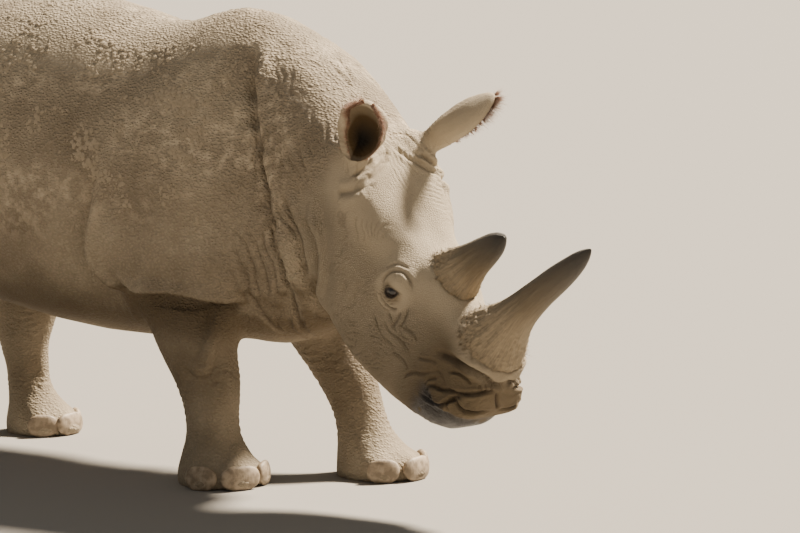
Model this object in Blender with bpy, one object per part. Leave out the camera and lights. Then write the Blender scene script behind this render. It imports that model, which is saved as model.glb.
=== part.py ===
"""White rhinoceros, adult: a life-size still model, standing with its head lowered.

Frame: +X is forward, +Y the animal's left, +Z up, in metres. While the body is shaped, x = 0 is
the middle of the right forefoot; at the end everything moves so that the middle of the whole
box is x = y = 0 and the soles stand at z = 0.

The body is lofted from cross-sections, fused into one closed form, creased along its folds,
thinned to few faces, and parted into named nodes with thin cuts. Horns, eyes, ears, toenails
and tail are solids of their own, which sit in sockets cut for them.
"""

import math
from dataclasses import astuple, dataclass

import bmesh
import bpy
import numpy as np
from mathutils import Euler, Matrix, Vector
from mathutils.bvhtree import BVHTree

# ---------------------------------------------------------------- driving dimensions (metres)
HUMP_HEIGHT = 1.715  # top of the hump over the shoulders
DIP_HEIGHT = 1.655  # the saddle behind it
BACK_HEIGHT = 1.765  # middle of the back
RUMP_HEIGHT = 1.680
BELLY_HEIGHT = 0.480
BRISKET_HEIGHT = 0.500
BARREL_HALF_WIDTH = 0.540
SHOULDER_HALF_WIDTH = 0.400
HIP_HALF_WIDTH = 0.450
BUTTOCK_X = -2.200
CHEST_X = 0.380
HIP_X = -1.720

POLL = (0.733, -0.207, 1.242)  # top of the head, between the ears
HEAD_PITCH = 44.4  # degrees that the top line of the head points down
HEAD_TURN = -12.0  # degrees to the animal's left; it looks a little to its right
HEAD_ROLL = 2.8
HEAD_LENGTH = 1.000  # poll to upper lip

FRONT_HORN_LENGTH = 0.620
REAR_HORN_LENGTH = 0.320
EAR_LENGTH = 0.285
EYE_DIAMETER = 0.048
TAIL_ROOT_HEIGHT = 1.370
TAIL_LENGTH = 0.690
FORE_FOOT_RADIUS = 0.164
HIND_FOOT_RADIUS = 0.138

# ---------------------------------------------------------------- how finely it is made
VOXEL = 0.016  # grid on which the forms are fused
REGION_FACES = {"rest": 1780, "head": 1320, "feet": 550}  # triangles left in the fused body
CUT = 0.0006  # width of the thin cuts between nodes
SEAT = 0.0004  # clearance of horns, eyes, ears, nails and tail in their sockets
RING_POINTS = 36  # round each section of the body
HORN_POINTS = 12
EAR_POINTS = 12
TAIL_POINTS = 8
EYE_FACES = (10, 7)  # round the eyeball, and from pole to pole
NAIL_FACES = (8, 5)


# ---------------------------------------------------------------- sections and lofts
@dataclass(frozen=True)
class Section:
    """A cross-section, set by where it meets the top line and the under line."""

    top_x: float
    top_z: float
    under_x: float
    under_z: float
    half_width: float
    widest: float = 0.5  # how far up it is widest, 0 at the under line, 1 at the top line
    crown: float = 2.0  # roundness over the widest line: 2 is an ellipse, more is squarer
    keel: float = 2.0  # roundness under it
    side: float = 0.0  # shift to the left
    turn: float = 0.0  # degrees that it faces to the left


def upright(x, top, under, half_width, **more):
    """A section that stands straight up."""
    return Section(x, top, x, under, half_width, **more)


TRUNK = (
    upright(BUTTOCK_X - 0.01, 1.14, 1.04, 0.02),
    upright(BUTTOCK_X + 0.02, 1.30, 0.94, 0.15),
    upright(BUTTOCK_X + 0.11, 1.44, 0.82, 0.28, widest=0.45),
    upright(BUTTOCK_X + 0.26, 1.575, 0.73, 0.39, widest=0.45),
    upright(HIP_X, RUMP_HEIGHT, 0.67, HIP_HALF_WIDTH, widest=0.45, crown=1.9),
    upright(-1.40, RUMP_HEIGHT + 0.03, 0.59, 0.505, widest=0.45, crown=1.9),
    upright(-0.95, BACK_HEIGHT, 0.51, BARREL_HALF_WIDTH, widest=0.43, crown=1.85),
    upright(-0.62, 1.710, BELLY_HEIGHT, 0.515, widest=0.43, crown=1.85),
    upright(-0.36, DIP_HEIGHT, BELLY_HEIGHT, 0.465, widest=0.42, crown=1.8),
    upright(-0.06, HUMP_HEIGHT, BRISKET_HEIGHT, SHOULDER_HALF_WIDTH, widest=0.42, crown=1.8),
    upright(0.18, 1.650, BRISKET_HEIGHT, 0.355, widest=0.42, crown=2.0),
    upright(CHEST_X, 1.42, 0.62, 0.26, widest=0.42),
)

NECK = (
    Section(-0.10, 1.66, 0.02, 0.56, 0.34, crown=1.9),
    Section(0.12, 1.665, 0.20, 0.53, 0.325, crown=2.1, side=-0.01, turn=-4),
    Section(0.34, 1.575, 0.31, 0.55, 0.300, crown=2.4, keel=2.2, side=-0.05, turn=-9),
    Section(0.52, 1.450, 0.40, 0.62, 0.270, crown=2.7, keel=2.2, side=-0.11, turn=-12),
    Section(0.66, 1.335, 0.49, 0.72, 0.240, crown=3.0, keel=2.2, side=-0.16, turn=-12),
    Section(0.78, 1.200, 0.60, 0.72, 0.205, crown=3.0, side=-0.20, turn=-12),
)

# Along the head the first number is the way from the poll to the lip, the second is up from
# the line between poll and front horn.
HEAD = (
    Section(-0.17, -0.04, -0.10, -0.44, 0.15, widest=0.60, crown=2.6),
    Section(-0.08, 0.030, 0.02, -0.50, 0.194, widest=0.66, crown=3.2),
    Section(0.02, 0.032, 0.14, -0.535, 0.220, widest=0.70, crown=3.8, keel=2.3),
    Section(0.13, 0.012, 0.25, -0.560, 0.226, widest=0.72, crown=4.0, keel=2.5),
    Section(0.24, -0.018, 0.36, -0.575, 0.214, widest=0.70, crown=3.6, keel=2.7),
    Section(0.35, -0.040, 0.46, -0.590, 0.188, widest=0.66, crown=3.0, keel=2.8),
    Section(0.46, -0.040, 0.55, -0.575, 0.170, widest=0.62, crown=2.6, keel=2.9),
    Section(0.58, -0.025, 0.65, -0.550, 0.150, widest=0.58, crown=2.3, keel=3.0),
    Section(0.70, -0.035, 0.73, -0.515, 0.138, widest=0.54, crown=2.1, keel=3.0),
    Section(0.81, -0.035, 0.80, -0.480, 0.138, widest=0.50, crown=2.1, keel=2.8),
    Section(0.90, -0.055, 0.87, -0.435, 0.138, widest=0.50, crown=2.3, keel=2.7),
    Section(0.958, -0.095, 0.922, -0.395, 0.124, widest=0.50, crown=2.4, keel=2.6),
    Section(0.986, -0.130, 0.960, -0.340, 0.100, widest=0.50, crown=2.4, keel=2.4),
    Section(HEAD_LENGTH, -0.180, 0.982, -0.290, 0.055, widest=0.50),
)


def smooth_rows(rows, steps):
    """Rows of numbers run through by a smooth curve, with steps between each pair."""
    rows = np.array(rows, dtype=float)
    knots = np.concatenate([[0.0], np.cumsum(np.linalg.norm(np.diff(rows[:, :4], axis=0), axis=1))])
    slopes = np.gradient(rows, knots, axis=0)
    out = []
    for i in range(len(rows) - 1):
        span = knots[i + 1] - knots[i]
        for k in range(steps):
            t = k / steps
            out.append(
                (2 * t**3 - 3 * t**2 + 1) * rows[i]
                + (t**3 - 2 * t**2 + t) * span * slopes[i]
                + (3 * t**2 - 2 * t**3) * rows[i + 1]
                + (t**3 - t**2) * span * slopes[i + 1]
            )
    out.append(rows[-1])
    return np.array(out)


def section_point(row, angle):
    """The point of a section at an angle: 0 is its left, 90 degrees its top."""
    top_x, top_z, under_x, under_z, half_width, widest, crown, keel, side, turn = row
    c, s = math.cos(angle), math.sin(angle)
    power = 2.0 / (crown if s >= 0 else keel)
    out = half_width * math.copysign(abs(c) ** power, c)
    rise = abs(s) ** power
    up = widest + (1 - widest) * rise if s >= 0 else widest * (1 - rise)
    turned = math.radians(turn)
    return Vector(
        (
            under_x + (top_x - under_x) * up - out * math.sin(turned),
            side + out * math.cos(turned),
            under_z + (top_z - under_z) * up,
        )
    )


def skin_rings(bm, rings):
    """Joins rings of points into one closed form with flat ends."""
    loops = [[bm.verts.new(p) for p in ring] for ring in rings]
    count = len(loops[0])
    for a, b in zip(loops, loops[1:]):
        for i in range(count):
            j = (i + 1) % count
            bm.faces.new((a[i], a[j], b[j], b[i]))
    bm.faces.new(list(reversed(loops[0])))
    bm.faces.new(loops[-1])


def loft(name, sections, steps=4, place=None):
    """A closed form through the sections."""
    rows = smooth_rows([astuple(s) for s in sections], steps)
    angles = [2 * math.pi * i / RING_POINTS for i in range(RING_POINTS)]
    bm = bmesh.new()
    skin_rings(bm, [[section_point(row, a) for a in angles] for row in rows])
    if place is not None:
        bm.transform(place)
    return finish(name, bm)


def turns(count):
    """Evenly spaced angles once round, in radians."""
    return [2 * math.pi * i / count for i in range(count)]


def finish(name, bm, outward=True):
    """Turns a bmesh into an object; outward turns its faces to point out first."""
    if outward:
        bmesh.ops.recalc_face_normals(bm, faces=bm.faces)
        if bm.calc_volume(signed=True) < 0:  # it can take a very thin plate for its own inside
            bmesh.ops.reverse_faces(bm, faces=bm.faces)
    bmesh.ops.triangulate(bm, faces=bm.faces)  # so that a piece and its socket fold alike
    mesh = bpy.data.meshes.new(name)
    bm.to_mesh(mesh)
    bm.free()
    piece = bpy.data.objects.new(name, mesh)
    bpy.context.scene.collection.objects.link(piece)
    return piece


def swelling(name, centre, radii, tilt=(0, 0, 0), place=None):
    """A muscle or a lobe: a ball stretched to three radii and tilted, in degrees."""
    bm = bmesh.new()
    bmesh.ops.create_uvsphere(bm, u_segments=28, v_segments=18, radius=1.0)
    turned = Euler([math.radians(a) for a in tilt]).to_matrix().to_4x4()
    bm.transform(Matrix.Translation(centre) @ turned @ Matrix.Diagonal((*radii, 1)))
    if place is not None:
        bm.transform(place)
    return finish(name, bm)


# ---------------------------------------------------------------- head frame
def head_matrix():
    """From the head's own axes (forward, left, up from the poll) to the body's."""
    turn = Matrix.Rotation(math.radians(HEAD_TURN), 4, "Z")
    pitch = Matrix.Rotation(math.radians(HEAD_PITCH), 4, "Y")
    roll = Matrix.Rotation(math.radians(HEAD_ROLL), 4, "X")
    return Matrix.Translation(POLL) @ turn @ pitch @ roll


# ---------------------------------------------------------------- legs
@dataclass(frozen=True)
class Leg:
    """A leg: where its foot stands, where it points, and how it leans."""

    name: str
    foot_x: float
    foot_y: float
    turn: float  # degrees that the toes point to the left
    knee_shift: float  # how much further forward than usual it is at the knee or hock
    top_shift: float  # and at the shoulder or hip
    shape: tuple
    foot_radius: float

    @property
    def side(self):
        """-1 on the animal's right, +1 on its left."""
        return math.copysign(1.0, self.foot_y)

    def shift(self, height):
        """How much further forward than usual the leg is at a height."""
        return float(np.interp(height, (0.06, 0.50, 1.00), (0.0, self.knee_shift, self.top_shift)))

    def middle(self, height):
        """The middle of the leg at a height."""
        rows = np.array(self.shape)
        forward = np.interp(height, rows[:, 0], rows[:, 1]) + self.shift(height)
        outward = np.interp(height, rows[:, 0], rows[:, 2])
        return Vector((self.foot_x + forward, self.foot_y + self.side * outward, height))


# Height, shift forward, shift outward, half of its length, half of its width.
FORE_SHAPE = (
    (-0.03, 0.00, 0.00, 0.140, 0.140),
    (0.04, 0.00, 0.00, 0.146, 0.146),
    (0.10, -0.005, 0.00, 0.126, 0.126),
    (0.17, -0.015, 0.00, 0.101, 0.100),
    (0.24, -0.020, 0.00, 0.101, 0.096),
    (0.36, -0.040, 0.00, 0.126, 0.112),
    (0.46, -0.08, 0.01, 0.156, 0.128),
    (0.58, -0.12, 0.01, 0.200, 0.146),
    (0.72, -0.13, 0.00, 0.240, 0.155),
    (0.95, -0.11, -0.03, 0.250, 0.140),
)
HIND_SHAPE = (
    (-0.03, 0.00, 0.00, 0.126, 0.124),
    (0.04, 0.00, 0.00, 0.134, 0.130),
    (0.10, -0.01, 0.00, 0.116, 0.110),
    (0.17, -0.05, 0.00, 0.090, 0.086),
    (0.26, -0.07, 0.00, 0.092, 0.080),
    (0.38, -0.09, 0.00, 0.120, 0.092),
    (0.48, -0.08, 0.01, 0.135, 0.104),
    (0.60, -0.03, 0.02, 0.175, 0.130),
    (0.74, 0.04, 0.03, 0.225, 0.155),
    (0.90, 0.05, 0.02, 0.260, 0.165),
    (1.08, 0.03, 0.00, 0.270, 0.150),
)

LEGS = (
    Leg("fore_right", -0.014, -0.238, -22.0, 0.00, 0.00, FORE_SHAPE, FORE_FOOT_RADIUS),
    Leg("fore_left", 0.343, 0.235, 4.0, -0.15, -0.34, FORE_SHAPE, FORE_FOOT_RADIUS),
    Leg("hind_right", -1.790, -0.215, -12.0, 0.00, 0.03, HIND_SHAPE, HIND_FOOT_RADIUS),
    Leg("hind_left", -1.328, 0.197, 6.0, 0.02, -0.38, HIND_SHAPE, HIND_FOOT_RADIUS),
)


def leg_form(leg):
    """A leg from sole to shoulder or hip."""
    rings = []
    for height, forward, outward, length, width, _ in smooth_rows([(*r, 0.0) for r in leg.shape], 3):
        turned = math.radians(leg.turn) * max(0.0, 1.0 - height / 0.3)
        middle_x = leg.foot_x + forward + leg.shift(height)
        middle_y = leg.foot_y + leg.side * outward
        ring = []
        for i in range(RING_POINTS):
            a = 2 * math.pi * i / RING_POINTS
            x, y = length * math.cos(a), width * math.sin(a)
            ring.append(
                (
                    middle_x + x * math.cos(turned) - y * math.sin(turned),
                    middle_y + x * math.sin(turned) + y * math.cos(turned),
                    height,
                )
            )
        rings.append(ring)
    bm = bmesh.new()
    skin_rings(bm, rings)
    return finish(f"{leg.name}_form", bm)


# ---------------------------------------------------------------- toes
TOES = {"inner": 46.0, "middle": 0.0, "outer": -46.0}  # degrees round the foot, inner side first


def toe_direction(leg, angle):
    """The way that a toe points, as a turn about the vertical in radians."""
    return math.radians(leg.turn - leg.side * angle)


def toe_forms(leg):
    """The three toes of a foot, as lobes."""
    forms = []
    for toe, angle in TOES.items():
        way = toe_direction(leg, angle)
        reach = leg.foot_radius * (0.52 if toe == "middle" else 0.46)
        centre = (leg.foot_x + reach * math.cos(way), leg.foot_y + reach * math.sin(way), 0.035)
        radii = (leg.foot_radius * 0.62, leg.foot_radius * 0.44, 0.072)
        forms.append(swelling(f"{leg.name}_{toe}_lobe", centre, radii, (0, 0, math.degrees(way))))
    return forms



# ---------------------------------------------------------------- joining and changing meshes
def fuse(pieces, name):
    """Joins pieces into one mesh, and removes them."""
    bm = bmesh.new()
    for piece in pieces:
        bm.from_mesh(piece.data)
        bpy.data.objects.remove(piece)
    return finish(name, bm, outward=False)


def applied(piece, kind, **settings):
    """Adds a modifier to a piece and applies it."""
    modifier = piece.modifiers.new(kind.title(), kind)
    for key, value in settings.items():
        setattr(modifier, key, value)
    evaluated = piece.evaluated_get(bpy.context.evaluated_depsgraph_get())
    mesh = bpy.data.meshes.new_from_object(evaluated)
    piece.modifiers.clear()
    piece.data = mesh
    return piece


def surface_tree(piece):
    """A search tree of a piece's surface."""
    bm = bmesh.new()
    bm.from_mesh(piece.data)
    tree = BVHTree.FromBMesh(bm)
    bm.free()
    return tree


# ---------------------------------------------------------------- the fused body
def body_form():
    """All the flesh, fused into one closed and smooth form."""
    head = head_matrix()
    pieces = [
        loft("trunk_form", TRUNK),
        loft("neck_form", NECK),
        loft("head_form", HEAD, place=head),
    ]
    for side in (-1, 1):
        pieces += [
            swelling("shoulder", (-0.12, side * 0.25, 1.02), (0.30, 0.175, 0.46), (side * 8, 14, 0)),
            swelling("upper_arm", (-0.08, side * 0.26, 0.84), (0.30, 0.165, 0.20), (0, 6, 0)),
            swelling("haunch", (HIP_X - 0.04, side * 0.25, 1.10), (0.38, 0.20, 0.46), (side * 6, 10, 0)),
            swelling("stifle", (HIP_X + 0.10, side * 0.28, 0.84), (0.24, 0.14, 0.20), (0, 30, 0)),
            swelling("cheek", (0.35, side * 0.10, -0.36), (0.19, 0.095, 0.18), (0, 20, 0), head),
            swelling("ear_root", (0.00, side * 0.135, 0.00), (0.085, 0.075, 0.058), (0, -10, 0), head),
            swelling("brow", (0.455, side * 0.135, -0.115), (0.09, 0.035, 0.045), (0, 10, 0), head),
            swelling("lip", (0.918, side * 0.080, -0.225), (0.09, 0.060, 0.075), (0, -25, 0), head),
        ]
    pieces.append(swelling("horn_boss", (0.84, 0, -0.07), (0.135, 0.125, 0.06), (0, -8, 0), head))
    pieces.append(swelling("rear_boss", (0.55, 0, -0.06), (0.12, 0.10, 0.06), (0, 0, 0), head))
    for leg in LEGS:
        pieces.append(leg_form(leg))
        pieces += toe_forms(leg)
    body = fuse(pieces, "body")
    applied(body, "REMESH", mode="VOXEL", voxel_size=VOXEL, adaptivity=0.0)
    applied(body, "SMOOTH", factor=0.5, iterations=10)
    return body


@dataclass(frozen=True)
class Fold:
    """A crease along the skin, on both sides of the animal."""

    points: tuple  # forward and height, in the body's axes or the head's
    depth: float
    width: float
    lip: float = 0.5  # how high the skin stands beside it, of its depth
    on_head: bool = False


FOLDS = (
    # in front of the shoulder, from the nape to the brisket
    Fold(((0.13, 1.56), (0.22, 1.40), (0.30, 1.22), (0.35, 1.04), (0.39, 0.84), (0.38, 0.66)), 0.030, 0.030),
    # the second and third folds of the neck
    Fold(((0.47, 1.20), (0.51, 1.02), (0.51, 0.86), (0.46, 0.70)), 0.016, 0.026),
    Fold(((0.60, 1.10), (0.63, 0.97), (0.63, 0.82), (0.60, 0.70)), 0.014, 0.024),
    # over the elbow, and the soft fold behind the shoulder
    Fold(((-0.42, 0.66), (-0.30, 0.685), (-0.10, 0.695), (0.10, 0.69), (0.22, 0.66)), 0.040, 0.026, 0.7),
    Fold(((-0.35, 1.08), (-0.44, 0.95), (-0.47, 0.83), (-0.42, 0.72), (-0.33, 0.66)), 0.022, 0.036),
    # in front of the thigh, from the flank to the belly
    Fold(((-1.28, 1.10), (-1.34, 0.95), (-1.38, 0.82), (-1.36, 0.72)), 0.026, 0.038),
    # the mouth
    Fold(((0.83, -0.30), (0.90, -0.29), (0.97, -0.255), (1.01, -0.23)), 0.014, 0.013, 0.5, True),
    # round the back of the nostril
    Fold(((0.825, -0.265), (0.86, -0.215), (0.93, -0.165), (0.975, -0.12)), 0.012, 0.012, 0.6, True),
    # under the front horn
    Fold(((0.75, -0.16), (0.83, -0.125), (0.90, -0.105), (0.96, -0.10)), 0.010, 0.014, 0.3, True),
)


def along(points, spacing):
    """Points at an even spacing along a line through points."""
    out = []
    for a, b in zip(points, points[1:]):
        a, b = Vector(a), Vector(b)
        count = max(1, int((b - a).length / spacing))
        out += [a.lerp(b, i / count) for i in range(count)]
    out.append(Vector(points[-1]))
    return out


def fold_line(fold, side, tree):
    """A fold's line, laid on one side of the skin."""
    place = head_matrix() if fold.on_head else Matrix()
    inward = (place.to_3x3() @ Vector((0, -side, 0))).normalized()
    line = []
    for point in along([(x, 0, z) for x, z in fold.points], 0.02):
        start = place @ (point + Vector((0, side * 0.9, 0)))
        place_hit = tree.ray_cast(start, inward)[0]
        if place_hit is not None:
            line.append(place_hit)
    return line


def crease(body):
    """Presses the folds into the body, with a soft lip along each."""
    tree = surface_tree(body)
    count = len(body.data.vertices)
    points = np.empty(count * 3)
    normals = np.empty(count * 3)
    body.data.vertices.foreach_get("co", points)
    body.data.vertex_normals.foreach_get("vector", normals)
    points, normals = points.reshape(-1, 3), normals.reshape(-1, 3)
    move = np.zeros(count)
    for fold in FOLDS:
        for side in (-1, 1):
            line = np.array(fold_line(fold, side, tree))
            reach = 3.5 * fold.width
            near = np.where(
                ((points > line.min(0) - reach) & (points < line.max(0) + reach)).all(1)
            )[0]
            away = np.linalg.norm(points[near, None] - line[None], axis=2)
            closest = away.argmin(1)
            t = away.min(1) / fold.width
            ends = np.minimum(closest, len(line) - 1 - closest) / (0.25 * len(line))
            fade = np.clip(0.15 + ends, 0, 1)
            press = np.exp(-(t**2)) - fold.lip * 0.5 * np.exp(-((t - 2.0) ** 2))
            facing = (normals[near] * normals_at(line, tree)[closest]).sum(1) > 0.2
            move[near] -= fold.depth * press * fade * facing
    points += normals * move[:, None]
    body.data.vertices.foreach_set("co", points.ravel())
    body.data.update()
    applied(body, "REMESH", mode="VOXEL", voxel_size=VOXEL, adaptivity=0.0)
    return applied(body, "SMOOTH", factor=0.5, iterations=3)


def normals_at(line, tree):
    """The skin's directions at the points of a line."""
    return np.array([tree.find_nearest(Vector(p))[1] for p in line])


def region_of(point, to_head):
    """Which region of the body a point is in."""
    if (to_head @ point).x > -0.05:
        return "head"
    return "feet" if point.z < 0.18 else "rest"


def thin(body):
    """Takes the fused body down to few faces, region by region."""
    to_head = head_matrix().inverted()
    for name, target in REGION_FACES.items():
        inside = [region_of(v.co, to_head) == name for v in body.data.vertices]
        total = chosen = 0
        for face in body.data.polygons:
            triangles = len(face.vertices) - 2
            total += triangles
            chosen += triangles if any(inside[v] for v in face.vertices) else 0
        group = body.vertex_groups.new(name=name)
        group.add([i for i, here in enumerate(inside) if here], 1.0, "REPLACE")
        applied(
            body,
            "DECIMATE",
            decimate_type="COLLAPSE",
            ratio=(total - chosen + target) / total,
            vertex_group=name,
            vertex_group_factor=0.00001,
        )
        body.vertex_groups.clear()
    return body


def stand(body):
    """Cuts the soles flat at floor level."""
    bm = bmesh.new()
    bm.from_mesh(body.data)
    everything = bm.verts[:] + bm.edges[:] + bm.faces[:]
    bmesh.ops.bisect_plane(bm, geom=everything, plane_co=(0, 0, 0), plane_no=(0, 0, 1), clear_inner=True)
    rim = [e for e in bm.edges if e.is_boundary]
    bmesh.ops.edgeloop_fill(bm, edges=rim)
    bmesh.ops.triangulate(bm, faces=bm.faces)
    bm.to_mesh(body.data)
    bm.free()
    return body


# ---------------------------------------------------------------- horns
# Share of the horn's length, half of its length along the head, half of its width, bend forward.
FRONT_HORN = (
    (-0.06, 0.128, 0.112, 0.000),
    (0.03, 0.124, 0.108, 0.000),
    (0.12, 0.098, 0.088, -0.004),
    (0.24, 0.073, 0.068, -0.010),
    (0.40, 0.057, 0.053, -0.012),
    (0.60, 0.048, 0.043, -0.006),
    (0.80, 0.036, 0.031, 0.002),
    (0.93, 0.022, 0.018, 0.004),
    (1.00, 0.006, 0.005, 0.004),
)
REAR_HORN = (
    (-0.12, 0.108, 0.078, 0.000),
    (0.05, 0.102, 0.074, 0.000),
    (0.25, 0.082, 0.060, 0.000),
    (0.45, 0.062, 0.046, 0.000),
    (0.70, 0.042, 0.030, 0.004),
    (0.90, 0.026, 0.018, 0.006),
    (1.00, 0.010, 0.008, 0.006),
)


def horn(name, base, lean, length, shape):
    """A horn on the middle of the head; lean is how far it tilts forward, in degrees."""
    bm = bmesh.new()
    rings = []
    for share, half_length, half_width, bend, _ in smooth_rows([(*row, 0.0) for row in shape], 2):
        rings.append(
            [
                (bend + half_length * math.cos(a), half_width * math.sin(a), share * length)
                for a in turns(HORN_POINTS)
            ]
        )
    skin_rings(bm, rings)
    tilt = Matrix.Rotation(math.radians(lean), 4, "Y")
    bm.transform(head_matrix() @ Matrix.Translation((base[0], 0, base[1])) @ tilt)
    return finish(name, bm)


# ---------------------------------------------------------------- ears
# Share of the ear's length, half of its width, half of its depth.
EAR_OUTSIDE = (
    (-0.14, 0.034, 0.036),
    (0.00, 0.040, 0.042),
    (0.14, 0.050, 0.047),
    (0.32, 0.066, 0.050),
    (0.52, 0.074, 0.048),
    (0.70, 0.066, 0.040),
    (0.84, 0.048, 0.030),
    (0.94, 0.028, 0.020),
    (1.00, 0.010, 0.009),
)
# Share of the ear's length, half width, half depth and way forward of the hollow in it.
EAR_HOLLOW = (
    (0.13, 0.012, 0.014, 0.010),
    (0.22, 0.034, 0.035, 0.016),
    (0.34, 0.052, 0.044, 0.022),
    (0.52, 0.061, 0.048, 0.028),
    (0.70, 0.054, 0.046, 0.032),
    (0.84, 0.038, 0.040, 0.034),
    (0.95, 0.018, 0.030, 0.034),
    (1.03, 0.004, 0.020, 0.034),
)


def tube(rows, place):
    """A closed form of elliptical rings along the Z axis of a place."""
    bm = bmesh.new()
    rings = []
    for height, width, depth, forward in rows:
        rings.append(
            [
                (forward + depth * math.cos(a), width * math.sin(a), height)
                for a in turns(EAR_POINTS)
            ]
        )
    skin_rings(bm, rings)
    bm.transform(place)
    return bm


def ear(name, base, way, facing):
    """An ear that tapers to its tip, and the cutter that later hollows it in front.

    base is where it stands, way where its tip points and facing where it opens, all in the
    head's axes.
    """
    up = Vector(way).normalized()
    front = Vector(facing)
    front = (front - up * front.dot(up)).normalized()
    across = up.cross(front)
    turned = Matrix((front, across, up)).transposed().to_4x4()
    place = head_matrix() @ Matrix.Translation(base) @ turned
    outside = [(t * EAR_LENGTH, w, d, 0.0) for t, w, d in EAR_OUTSIDE]
    hollow = [(t * EAR_LENGTH, w, d, f) for t, w, d, f in EAR_HOLLOW]
    return finish(name, tube(outside, place)), finish(name + "_hollow", tube(hollow, place))


# ---------------------------------------------------------------- eyes, nails, tail
EYE_PLACE = (0.485, -0.163)  # along the head, and up
EYE_DEPTH = 0.62  # how much of its radius the eye's middle lies under the skin


def eye(side, tree):
    """An eyeball, sunk in the side of the head."""
    place = head_matrix()
    start = place @ Vector((EYE_PLACE[0], side * 0.6, EYE_PLACE[1]))
    inward = (place.to_3x3() @ Vector((0, -side, 0))).normalized()
    skin, normal = tree.ray_cast(start, inward)[:2]
    radius = EYE_DIAMETER / 2
    bm = bmesh.new()
    bmesh.ops.create_uvsphere(bm, u_segments=EYE_FACES[0], v_segments=EYE_FACES[1], radius=radius)
    turned = normal.to_track_quat("Z", "Y").to_matrix().to_4x4()
    bm.transform(Matrix.Translation(skin - normal * radius * EYE_DEPTH) @ turned)
    return finish("eye_left" if side > 0 else "eye_right", bm)


NAIL_HEIGHT = 0.062
NAIL_WIDTH = {"inner": 0.078, "middle": 0.104, "outer": 0.078}


def nail(leg, toe, tree):
    """A toenail: a shield with rounded corners, let into the front of its toe."""
    way = toe_direction(leg, TOES[toe])
    out = Vector((math.cos(way), math.sin(way), 0))
    height = NAIL_HEIGHT / 2 + 0.004
    start = Vector((leg.foot_x, leg.foot_y, height)) + out * 0.5
    skin = tree.ray_cast(start, -out)[0]
    bm = bmesh.new()
    bmesh.ops.create_uvsphere(bm, u_segments=NAIL_FACES[0], v_segments=NAIL_FACES[1], radius=1.0)
    for vertex in bm.verts:
        vertex.co = Vector([math.copysign(abs(c) ** 0.7, c) for c in vertex.co])
    lean = Matrix.Rotation(math.radians(-16), 4, "Y")
    size = Matrix.Diagonal((0.017, NAIL_WIDTH[toe] / 2, NAIL_HEIGHT / 2, 1))
    place = Matrix.Translation(skin - out * 0.006) @ Matrix.Rotation(way, 4, "Z") @ lean @ size
    bm.transform(place)
    lift = 0.003 - min(v.co.z for v in bm.verts)
    bmesh.ops.translate(bm, verts=bm.verts, vec=(0, 0, lift))
    return finish(f"nail_{leg.name}_{toe}", bm)


# Way back from the buttocks, share of the tail's length down, half thickness, half width.
TAIL = (
    (-0.07, 0.00, 0.052, 0.056),
    (0.00, 0.03, 0.048, 0.052),
    (0.05, 0.10, 0.040, 0.044),
    (0.075, 0.25, 0.033, 0.036),
    (0.080, 0.46, 0.026, 0.029),
    (0.080, 0.68, 0.021, 0.024),
)
TUFT = (
    (0.080, 0.6805, 0.020, 0.023),
    (0.080, 0.75, 0.026, 0.036),
    (0.080, 0.86, 0.027, 0.044),
    (0.080, 0.94, 0.020, 0.034),
    (0.080, 1.00, 0.008, 0.014),
)


def hanging(name, rows):
    """A stretch of the tail, in rings across its run."""
    rows = smooth_rows([(*row, 0.0) for row in rows], 2)[:, :4]
    middles = [
        Vector((BUTTOCK_X - back, 0, TAIL_ROOT_HEIGHT - down * TAIL_LENGTH)) for back, down, *_ in rows
    ]
    rings = []
    for k, (_, _, thick, wide) in enumerate(rows):
        run = (middles[min(len(rows) - 1, k + 1)] - middles[max(0, k - 1)]).normalized()
        out = Vector((run.z, 0, -run.x))
        rings.append(
            [
                middles[k] + out * thick * math.cos(a) + Vector((0, wide * math.sin(a), 0))
                for a in turns(TAIL_POINTS)
            ]
        )
    bm = bmesh.new()
    skin_rings(bm, rings)
    return finish(name, bm)


# ---------------------------------------------------------------- sockets and thin cuts
def cut_from(piece, cutters):
    """Takes closed cutters out of a piece, and removes them."""
    cutter = fuse(cutters, "cutter")
    applied(piece, "BOOLEAN", operation="DIFFERENCE", solver="EXACT", object=cutter)
    bpy.data.objects.remove(cutter)
    return piece


def socket(piece):
    """A copy of a piece that is larger by the clearance all round."""
    bm = bmesh.new()
    bm.from_mesh(piece.data)
    bm.normal_update()
    for vertex, normal in [(v, v.normal.copy()) for v in bm.verts]:
        vertex.co += normal * SEAT
    return finish(f"{piece.name}_socket", bm, outward=False)


def plate(path, half_width, place):
    """A thin cutter that follows a path in the XZ plane of a place and reaches to both sides."""
    bm = bmesh.new()
    sheet = []
    for x, z in path:
        sheet.append([bm.verts.new((x, side * half_width, z)) for side in (-1, 1)])
    faces = [bm.faces.new((a[0], a[1], b[1], b[0])) for a, b in zip(sheet, sheet[1:])]
    bm.normal_update()
    bmesh.ops.solidify(bm, geom=faces, thickness=CUT)
    bm.transform(place)
    return finish("plate", bm)


def leg_plates(leg):
    """The cuts of one leg: at the body, at the wrist or hock, and over the foot."""
    outer, inner = (0.70, 0.44) if leg.name.startswith("fore") else (0.68, 0.49)
    across = Matrix(((0, 1, 0), (leg.side, 0, 0), (0, 0, 1))).to_4x4()
    place = Matrix.Translation((leg.middle(0.60).x - 0.03, 0, 0)) @ across
    cuts = [plate(((0.02, inner), (0.56, outer)), 0.37, place)]
    for height, radius in ((0.345, 0.22), (0.135, 0.20)):
        centre = leg.middle(height)
        flat = ((centre.x - radius, height), (centre.x + radius, height))
        cuts.append(plate(flat, 0.19, Matrix.Translation((0, centre.y, 0))))
    return cuts


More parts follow.
